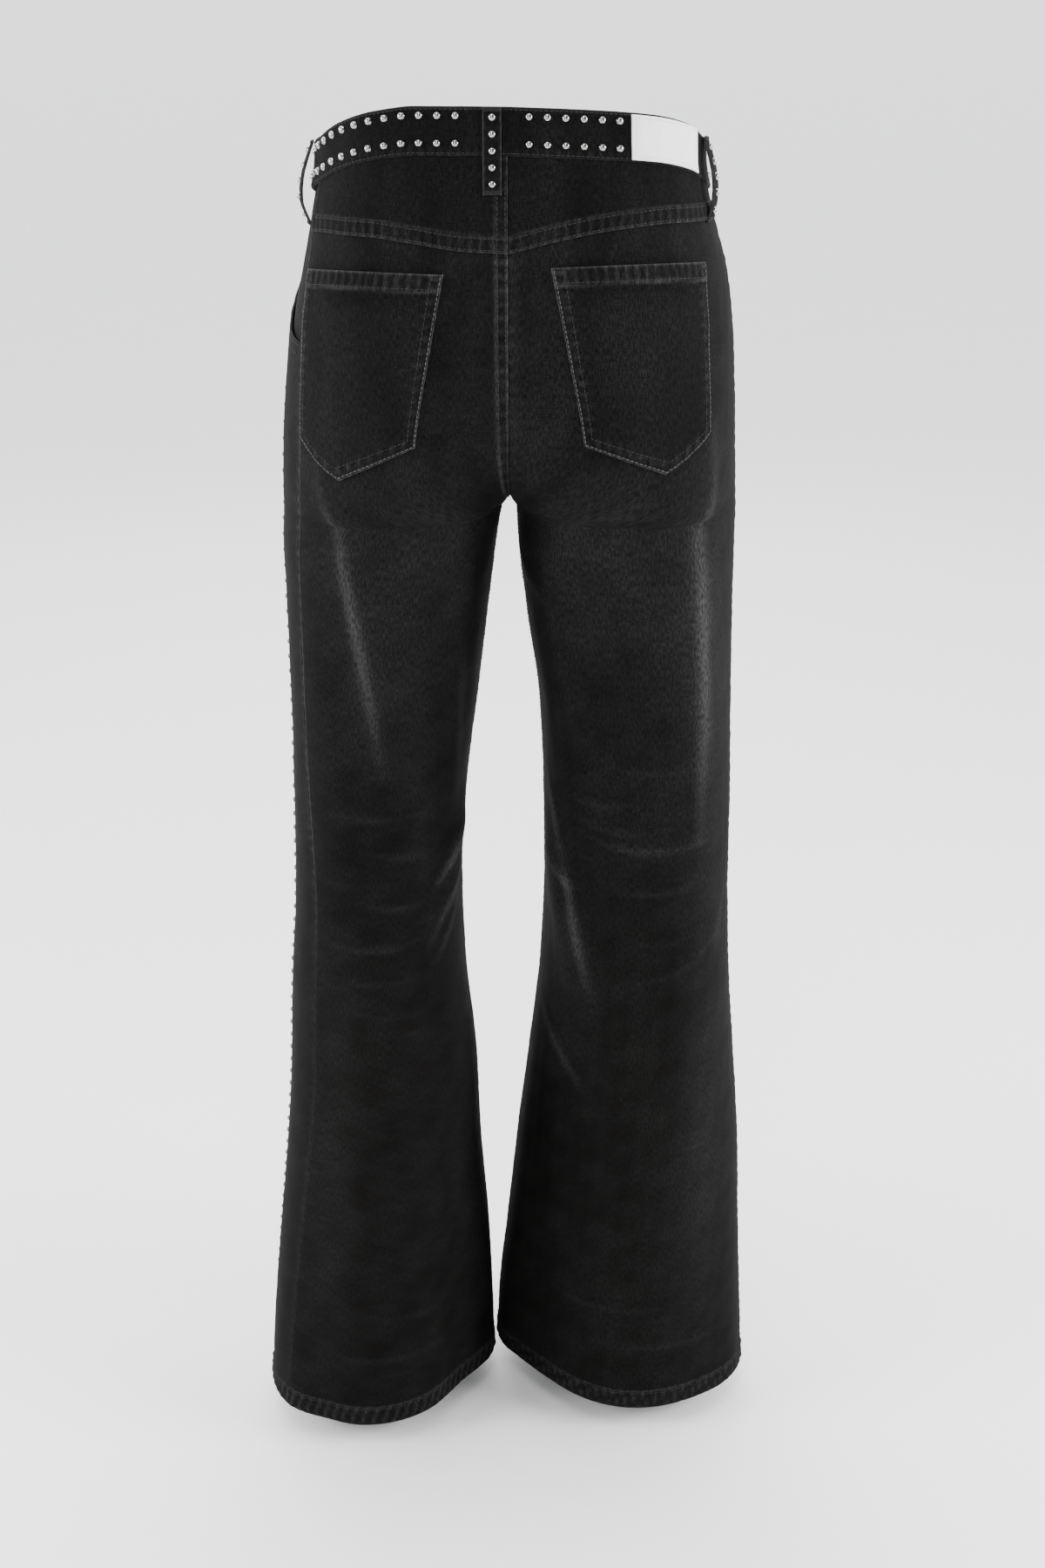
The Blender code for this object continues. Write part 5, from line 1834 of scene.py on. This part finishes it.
@dataclass
class Waistband(ClothPiece):
    """The waistband, lapped at the centre front, with two rows of studs."""

    overlap: float = 0.14
    underlap: float = 0.08
    stud_pitch: float = 0.0118
    stud_top_inset: float = 0.0058
    stud_bottom_inset: float = 0.0077
    stud_end: float = 0.352
    line_inset: float = 0.0018

    def __post_init__(self) -> None:
        """Names the piece."""
        self.node = "waistband"
        self.held = "stretched"
        self.rests_on = ("denim_yoke_left", "denim_yoke_right")
        self.parted = False

    def grid(self) -> tuple[Array, Array]:
        """Signed places and shares down of the band's points."""
        start, stop = -2.0 - self.underlap, 2.0 + self.overlap
        across = start + (stop - start) * edged(0.82, 0.0019)
        return tuple(np.meshgrid(across, edged(BAND_HEIGHT, 0.0012, NEAR_EDGE[:7])))

    def spot(self, first: Array, second: Array) -> tuple[Array, Array]:
        """Signed places and heights."""
        return first, SURFACE.band_top(first) - BAND_HEIGHT * second

    def relief(self, first: Array, second: Array) -> tuple[Array, Array]:
        """The outer face's offset and the cloth's wear."""
        down = BAND_HEIGHT * second
        up = BAND_HEIGHT - down
        along = first * 0.2
        edge = np.minimum(down, up)
        round_off = 0.0007 * (1.0 - np.clip(edge / 0.0015, 0.0, 1.0)) ** 2
        rib = ribs(along, 0.0082, 4.0)
        lift = BAND_OUT + band_rise(first) - round_off - 0.00016 * bell(edge - self.line_inset, 0.0008)
        lift = lift + 0.00014 * rib * bell(edge - 0.004, 0.005) + 0.00008 * crumple(along, down, 7.0)
        wear = 0.12 * bell(up, 0.0012) + 0.22 * bell(down, 0.0012)
        return lift, wear + 0.10 * np.maximum(rib, 0.0) * bell(up - 0.003, 0.004)

    def inner(self, first: Array, second: Array, lift: Array) -> Array:
        """The inner face's offset."""
        return band_rise(first) - BAND_IN

    def edge_lines(self) -> list[tuple[Array, Array]]:
        """Lines of topstitching along both edges."""
        places = np.linspace(-2.0, 1.99 + self.overlap, 900)
        inset = self.line_inset / BAND_HEIGHT
        return [self.trace(places, np.full(900, share)) for share in (inset, 1.0 - inset)]

    def stud_spots(self, loops: Sequence["BeltLoop"], patch: "WaistPatch") -> tuple[Array, Array]:
        """Feet and normals of the two rows of studs.

        Args:
            loops: The belt loops, beside which there is no stud.
            patch: The patch, beside which there is none either.

        Returns:
            Each stud's foot and normal.
        """
        back = loops[0]
        spots = []
        for direction in (1, -1):
            at = back.at + direction * back.clearance
            while abs(at) < self.stud_end:
                spots.append(at)
                at += direction * self.stud_pitch
        blocked = [(-patch.start - patch.width, -patch.start)]
        blocked += [(loop.at - loop.width / 2, loop.at + loop.width / 2) for loop in loops[1:]]
        clear = 0.0040
        free = [
            at for at in spots if all(at < low - clear or at > high + clear for low, high in blocked)
        ]
        places = SURFACE.place_at(np.array(free), 0.0)
        shares = (self.stud_top_inset / BAND_HEIGHT, 1.0 - self.stud_bottom_inset / BAND_HEIGHT)
        rows = [self.trace(places, np.full(len(places), share)) for share in shares]
        return tuple(np.concatenate([row[i] for row in rows]) for i in range(2))


@dataclass
class BeltLoop(ClothPiece):
    """A long belt loop with five studs, which stands clear of the band between its ends."""

    at: float = 0.0
    stand: float = 0.001
    ground: float = 0.0
    width: float = 0.0122
    length: float = 0.0535
    thickness: float = 0.0018
    clearance: float = 0.0238
    landing: float = 0.72
    stud_count: int = 5
    stud_inset: float = 0.0065

    def __post_init__(self) -> None:
        """Says how the strap is held, and finds its place."""
        self.held = "stretched"
        self.rests_on = ("denim_waistband",)
        self.parted = False
        self.place = float(SURFACE.place_at(self.at, 0.0))
        self.top = float(SURFACE.band_top(self.place)) - SEAM_GAP

    def grid(self) -> tuple[Array, Array]:
        """Shares across, from -1 to 1, and shares down of the strap's points."""
        across = 2.0 * edged(self.width, 0.0012, (0.0, 0.0003, 0.0007, 0.0013, 0.0020)) - 1.0
        return tuple(np.meshgrid(across, edged(self.length, 0.0012, NEAR_EDGE[:4])))

    def spot(self, first: Array, second: Array) -> tuple[Array, Array]:
        """Signed places and heights."""
        heights = self.top - self.length * second
        return SURFACE.place_at(self.at + self.width / 2 * first, heights), heights

    def clear(self, second: Array) -> Array:
        """Offset of the strap's inner face."""
        drop = BAND_OUT + float(band_rise(self.place)) - self.ground
        lift = self.ground + drop * (1.0 - smooth_step(second, self.landing, 1.0)) + LAID_GAP
        return lift + self.stand * np.sin(math.pi * second)

    def relief(self, first: Array, second: Array) -> tuple[Array, Array]:
        """The outer face's offset and the cloth's wear."""
        side = (1.0 - np.abs(first)) * self.width / 2
        end = np.minimum(second, 1.0 - second) * self.length
        lift = self.clear(second) + self.thickness - 0.0006 * (1.0 - np.clip(side / 0.0016, 0.0, 1.0)) ** 2
        lift = lift - 0.00025 * bell(end - 0.0022, 0.0014) * (side > 0.0006)
        rib = ribs(second * self.length, 0.0060, self.at * 90.0)
        wear = 0.30 * bell(side, 0.0009) + 0.24 * bell(end, 0.0012)
        return lift + 0.00010 * rib, wear + 0.06 * np.maximum(rib, 0.0)

    def inner(self, first: Array, second: Array, lift: Array) -> Array:
        """The inner face's offset."""
        return self.clear(second)

    def stud_spots(self) -> tuple[Array, Array]:
        """Feet and normals of the strap's studs."""
        metres = np.linspace(self.stud_inset, self.length - self.stud_inset, self.stud_count)
        return self.trace(np.zeros(self.stud_count), metres / self.length)

    def tack_lines(self) -> list[tuple[Array, Array]]:
        """Bar tacks across both ends."""
        across = np.linspace(-0.86, 0.86, 16)
        return [self.trace(across, np.full(16, share)) for share in (0.034, 0.966)]


@dataclass
class WaistPatch(ClothPiece):
    """The plain white leather patch, left bare, sewn round its edge."""

    start: float = 0.0805
    width: float = 0.062
    thickness: float = 0.0012
    inset: float = 0.0012

    def __post_init__(self) -> None:
        """Names the piece."""
        self.node = "waist_patch"
        self.finish = Finish.LEATHER
        self.is_sheet = False
        self.edge_drop = 0.0002

    def grid(self) -> tuple[Array, Array]:
        """Shares across and shares down of the patch's points."""
        near = (0.0, 0.0003, 0.0007, 0.0012, 0.0018, 0.0026)
        return tuple(np.meshgrid(edged(self.width, 0.0010, near), edged(BAND_HEIGHT, 0.0010, near)))

    def spot(self, first: Array, second: Array) -> tuple[Array, Array]:
        """Signed places and heights."""
        places = SURFACE.place_at(-self.start - self.width * first, 0.0)
        height = BAND_HEIGHT - 2.0 * self.inset
        return places, SURFACE.band_top(places) - self.inset - height * second

    def relief(self, first: Array, second: Array) -> tuple[Array, Array]:
        """The outer face's offset and the leather's shading."""
        across, down = first * self.width, second * BAND_HEIGHT
        side = np.minimum(across, self.width - across)
        edge = np.minimum(side, np.minimum(down, BAND_HEIGHT - down))
        lift = BAND_OUT + LAID_GAP + self.thickness - 0.0005 * (1.0 - np.clip(edge / 0.0012, 0.0, 1.0)) ** 2
        lift = lift - 0.00028 * bell(edge - 0.0022, 0.0007) + 0.00006 * crumple(across, down, 2.0)
        # Painted shade in the stitch groove, and darker at the very edge
        return lift, 0.35 * bell(edge - 0.0022, 0.0008) + 0.25 * bell(edge, 0.0006)

    def inner(self, first: Array, second: Array, lift: Array) -> Array:
        """The inner face's offset."""
        return np.full(np.shape(lift), BAND_OUT + LAID_GAP)

    def edge_lines(self) -> list[tuple[Array, Array]]:
        """The line of fine stitches round the patch."""
        across, down = 0.0022 / self.width, 0.0022 / BAND_HEIGHT
        side = np.linspace(across, 1.0 - across, 60)
        fall = np.linspace(down, 1.0 - down, 30)
        first = np.concatenate((side, np.full(30, 1.0 - across), side[::-1], np.full(30, across)))
        second = np.concatenate((np.full(60, down), fall, np.full(60, 1.0 - down), fall[::-1]))
        return [self.trace(first, second)]


# Metal pieces


@dataclass
class WaistButton:
    """The shank button on the waistband's overlapping end."""

    finishes: Finishes
    radius: float = 0.0085
    shank_radius: float = 0.0042
    shank: float = 0.0024
    head: float = 0.0034
    sides: int = 48

    def build(self) -> bpy.types.Object:
        """Turns the button, in place of its CAD node.

        Returns:
            The button.
        """
        profile = [(0.0001, 0.0), (self.shank_radius, 0.0), (self.shank_radius, self.shank)]
        profile += [(self.radius * 0.94, self.shank), (self.radius, self.shank + 0.0003)]
        profile += [(self.radius, self.shank + 0.0009), (self.radius * 0.93, self.shank + 0.0015)]
        profile += [(self.radius * 0.82, self.shank + 0.0013), (self.radius * 0.70, self.shank + 0.0018)]
        for turn in np.radians((25, 45, 65, 85)):
            rise = self.shank + 0.0018 + (self.head - 0.0018) * math.sin(turn)
            profile.append((self.radius * 0.70 * math.cos(turn), rise))
        profile.append((0.0001, self.shank + self.head))
        template, faces = turned(profile, self.sides)
        places, heights = np.array([2.0]), SURFACE.band_top(2.0) - BAND_HEIGHT / 2
        foot = BAND_OUT + float(band_rise(2.0)) + LAID_GAP
        centres, normals = SURFACE.locate(places, heights, foot)
        points, faces = spread(template, faces, centres, np.array([[1.0, 0.0, 0.0]]), normals)
        made = make_object("button_turned", points, faces)
        self.finishes.dress(made, Finish.BUTTON)
        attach(made, BODY)
        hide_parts("waist_button")
        return made


@dataclass
class ZipPull:
    """The zip slider's pull, which hangs over the fly's edge just under the waistband."""

    finishes: Finishes
    length: float = 0.0130
    width: float = 0.0046
    thickness: float = 0.0009
    hole: float = 0.0012
    sides: int = 40
    drop: float = 0.0030
    stand: float = 0.0026

    def outline(self, inset: float) -> Array:
        """The pull's rounded outline, pulled in by an inset."""
        turns = np.linspace(0.0, TAU, self.sides, endpoint=False)
        radius = self.width / 2 - inset
        straight = (self.length - self.width) / 2
        return np.stack((
            -np.sin(turns) * radius + np.sign(-np.sin(turns)) * straight, np.cos(turns) * radius,
        ), axis=1)

    def build(self) -> bpy.types.Object:
        """Makes the pull with its hole and softened edges.

        Returns:
            The pull.
        """
        turns = np.linspace(0.0, TAU, self.sides, endpoint=False)
        shift = (self.length - self.width) / 2
        ring = np.stack((-np.sin(turns) * self.hole - shift, np.cos(turns) * self.hole), axis=1)
        half, soft = self.thickness / 2, 0.0002
        levels = (
            (ring, -half), (self.outline(soft), -half), (self.outline(0.0), -half + soft),
            (self.outline(0.0), half - soft), (self.outline(soft), half), (ring, half),
        )
        template = np.array([np.column_stack((flat, np.full(self.sides, z))) for flat, z in levels])
        corner = np.arange(len(levels) * self.sides).reshape(len(levels), self.sides)
        following, above = np.roll(corner, -1, axis=1), np.roll(corner, -1, axis=0)
        quads = np.stack((corner, above, np.roll(following, -1, axis=0), following), axis=-1)
        height = float(SURFACE.band_bottom(2.0)) - self.drop - self.length / 2
        centres, normals = SURFACE.locate(np.array([1.985]), height, self.stand + band_rise(2.0))
        down = np.array([[0.0, 0.0, -1.0]])
        points, faces = spread(template.reshape(-1, 3), quads.reshape(-1, 4), centres, down, normals)
        made = make_object("zip_pull", points, faces)
        self.finishes.dress(made, Finish.STUD)
        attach(made, BODY)
        return made


# Whole garment

# Belt loops: node, metres from the centre back, how far the strap stands off, and the offset of the
# cloth that its lower end lands on
LOOPS = (
    ("belt_loop_back", 0.0100, 0.0010, 0.0),
    ("belt_loop_side_left", 0.1740, 0.0060, -CLOTH - FACING_GAP),
    ("belt_loop_side_right", -0.1600, 0.0060, 0.0),
    ("belt_loop_front_left", 0.3000, 0.0030, 0.0),
    ("belt_loop_front_right", -0.3000, 0.0030, 0.0),
)


class Jeans:
    """Builds every piece of the jeans in the order in which they would be sewn."""

    def __init__(self) -> None:
        """Prepares the finishes and the tools."""
        self.finishes = Finishes()
        self.seamstress = Seamstress(self.finishes)
        self.setter = StudSetter(self.finishes)

    def legs(self) -> None:
        """Leg panels, their seams, their hems and the stud lines."""
        for leg in Leg:
            back = LegPanel(self.finishes, leg=leg, face=Face.BACK)
            front = LegPanel(self.finishes, leg=leg, face=Face.FRONT)
            back.build()
            front.build()
            sew = self.seamstress.sew
            sew("sewing_hem_" + leg.word, back.hem_line() + front.hem_line())
            sew("sewing_inseam_" + leg.word, back.seam_lines())
            sew("sewing_mouth_" + leg.word, front.mouth_lines())
            spots = front.outseam_studs()
            self.setter.fasten("studs_side_" + leg.word, *spots, SIDE_STUD, Finish.SIDE_STUD)
            if leg is Leg.LEFT:
                sew("sewing_seat", back.rise_lines(-0.0535))
                sew("sewing_fly", front.fly_lines() + front.rise_lines(-0.139))

    def yokes(self) -> None:
        """Yokes and their felled seams."""
        for leg in Leg:
            yoke = Yoke(self.finishes, leg=leg)
            yoke.build()
            lines = yoke.felled_lines()
            if leg is Leg.LEFT:
                lines += yoke.rise_lines()
            self.seamstress.sew("sewing_yoke_" + leg.word, lines)

    def pockets(self) -> None:
        """Back pockets and front pocket facings."""
        for leg in Leg:
            pocket = BackPocket(self.finishes, leg=leg, **POCKETS[leg])
            pocket.build()
            self.seamstress.sew(
                "sewing_pocket_edge_" + leg.word, pocket.edge_lines(), finish=Finish.PALE_THREAD
            )
            self.seamstress.sew("sewing_pocket_" + leg.word, pocket.inner_lines())
            self.seamstress.sew(
                "tacks_pocket_" + leg.word, pocket.tack_lines(), TACK_STITCH, across=True
            )
            PocketFacing(self.finishes, leg=leg).build()

    def waist(self) -> None:
        """Waistband, belt loops, patch, studs, fly shield, button and zip pull."""
        band = Waistband(self.finishes)
        band.build()
        self.seamstress.sew("sewing_waistband", band.edge_lines())
        loops = [
            BeltLoop(self.finishes, node=name, at=at, stand=stand, ground=ground)
            for name, at, stand, ground in LOOPS
        ]
        for loop in loops:
            loop.build()
            self.setter.fasten(loop.node.replace("belt", "studs"), *loop.stud_spots())
        tacks = [line for loop in loops for line in loop.tack_lines()]
        self.seamstress.sew("tacks_loops", tacks, TACK_STITCH, across=True)
        patch = WaistPatch(self.finishes)
        patch.build()
        self.seamstress.sew("sewing_patch", patch.edge_lines(), FINE_STITCH, Finish.PATCH_THREAD)
        self.setter.fasten("studs_waistband", *band.stud_spots(loops, patch))
        FlyShield(self.finishes).build()
        WaistButton(self.finishes).build()
        ZipPull(self.finishes).build()


# Studio


@dataclass
class SoftLight:
    """A large soft lamp that points at a spot."""

    name: str
    place: tuple[float, float, float]
    target: tuple[float, float, float]
    size: float
    power: float

    def build(self) -> bpy.types.Object:
        """Makes the lamp."""
        lamp = bpy.data.lights.new(self.name, "AREA")
        lamp.shape = "SQUARE"
        lamp.size = self.size
        lamp.energy = self.power
        made = bpy.data.objects.new(self.name, lamp)
        bpy.context.scene.collection.objects.link(made)
        ahead = Vector(self.target) - Vector(self.place)
        turn = ahead.to_track_quat("-Z", "Y").to_matrix().to_4x4()
        made.matrix_world = Matrix.Translation(self.place) @ turn
        return made


@dataclass
class Studio:
    """A plain pale floor, soft light and the photograph's camera."""

    camera_place: tuple[float, float, float] = (-0.0095, 1.3563, 0.1034)
    tilt: float = 23.13
    focal_pixels: float = 2136.0
    picture_height: float = 1800.0
    sensor: float = 36.0
    floor_height: float = -1.065
    floor_size: float = 600.0
    sky: tuple[float, float, float] = (0.97, 0.98, 1.0)
    bright_side: float = 4.2
    dim_side: float = 0.25
    lights: tuple[SoftLight, ...] = (
        SoftLight("lamp_left", (2.2, 0.7, 0.4), (0.0, 0.0, -0.45), 1.0, 75.0),
        SoftLight("lamp_right", (-2.2, 0.6, 0.4), (0.0, 0.0, -0.45), 1.0, 90.0),
        SoftLight("lamp_top", (0.3, 1.0, 2.2), (0.0, 0.0, -0.3), 1.2, 35.0),
        SoftLight("lamp_camera", (0.4, 1.8, 0.8), (0.0, 0.0, -0.3), 0.6, 9.0),
        SoftLight("lamp_front", (0.3, -2.4, 1.1), (0.0, 0.0, -0.4), 2.0, 40.0),
    )

    def build(self) -> None:
        """Makes the floor, the sky, the lamps and the camera."""
        self.floor()
        self.light_sky()
        for light in self.lights:
            light.build()
        self.camera()

    def light_sky(self) -> None:
        """Makes the soft sky, which is brighter in front of the jeans than behind them."""
        world = bpy.data.worlds.new("studio_sky")
        world.use_nodes = True
        tree = world.node_tree
        place = tree.nodes.new("ShaderNodeTexCoord")
        parts = tree.nodes.new("ShaderNodeSeparateXYZ")
        span = tree.nodes.new("ShaderNodeMapRange")
        span.interpolation_type = "SMOOTHSTEP"
        for name, value in zip(
            ("From Min", "From Max", "To Min", "To Max"), (-0.5, 0.4, self.bright_side, self.dim_side)
        ):
            span.inputs[name].default_value = value
        background = tree.nodes["Background"]
        background.inputs["Color"].default_value = rgba(self.sky)
        tree.links.new(place.outputs["Generated"], parts.inputs[0])
        tree.links.new(parts.outputs["Y"], span.inputs["Value"])
        tree.links.new(span.outputs["Result"], background.inputs["Strength"])
        bpy.context.scene.world = world

    def floor(self) -> None:
        """Makes the floor below the hems."""
        side = np.linspace(-self.floor_size / 2, self.floor_size / 2, 21)
        x, y = np.meshgrid(side, side)
        points = np.stack((x, y, np.full(x.shape, self.floor_height)), axis=-1)
        made = make_object("studio_floor", points, grid_faces(21, 21))
        made.data.materials.append(FloorFinish().build())

    def camera(self) -> None:
        """Makes the camera that took the photograph."""
        lens = bpy.data.cameras.new("photo_camera")
        lens.sensor_fit = "AUTO"
        lens.sensor_width = self.sensor
        lens.lens = self.focal_pixels / self.picture_height * self.sensor
        made = bpy.data.objects.new("photo_camera", lens)
        made.location = self.camera_place
        made.rotation_euler = (math.radians(90.0 - self.tilt), 0.0, math.pi)
        bpy.context.scene.collection.objects.link(made)
        bpy.context.scene.camera = made


def main() -> None:
    """Builds the studio and every piece of the jeans."""
    logging.basicConfig(level=logging.INFO, format="%(name)s: %(message)s")
    jeans = Jeans()
    jeans.legs()
    jeans.yokes()
    jeans.pockets()
    jeans.waist()
    Studio().build()
    bpy.context.view_layer.update()


if __name__ == "__main__":
    main()
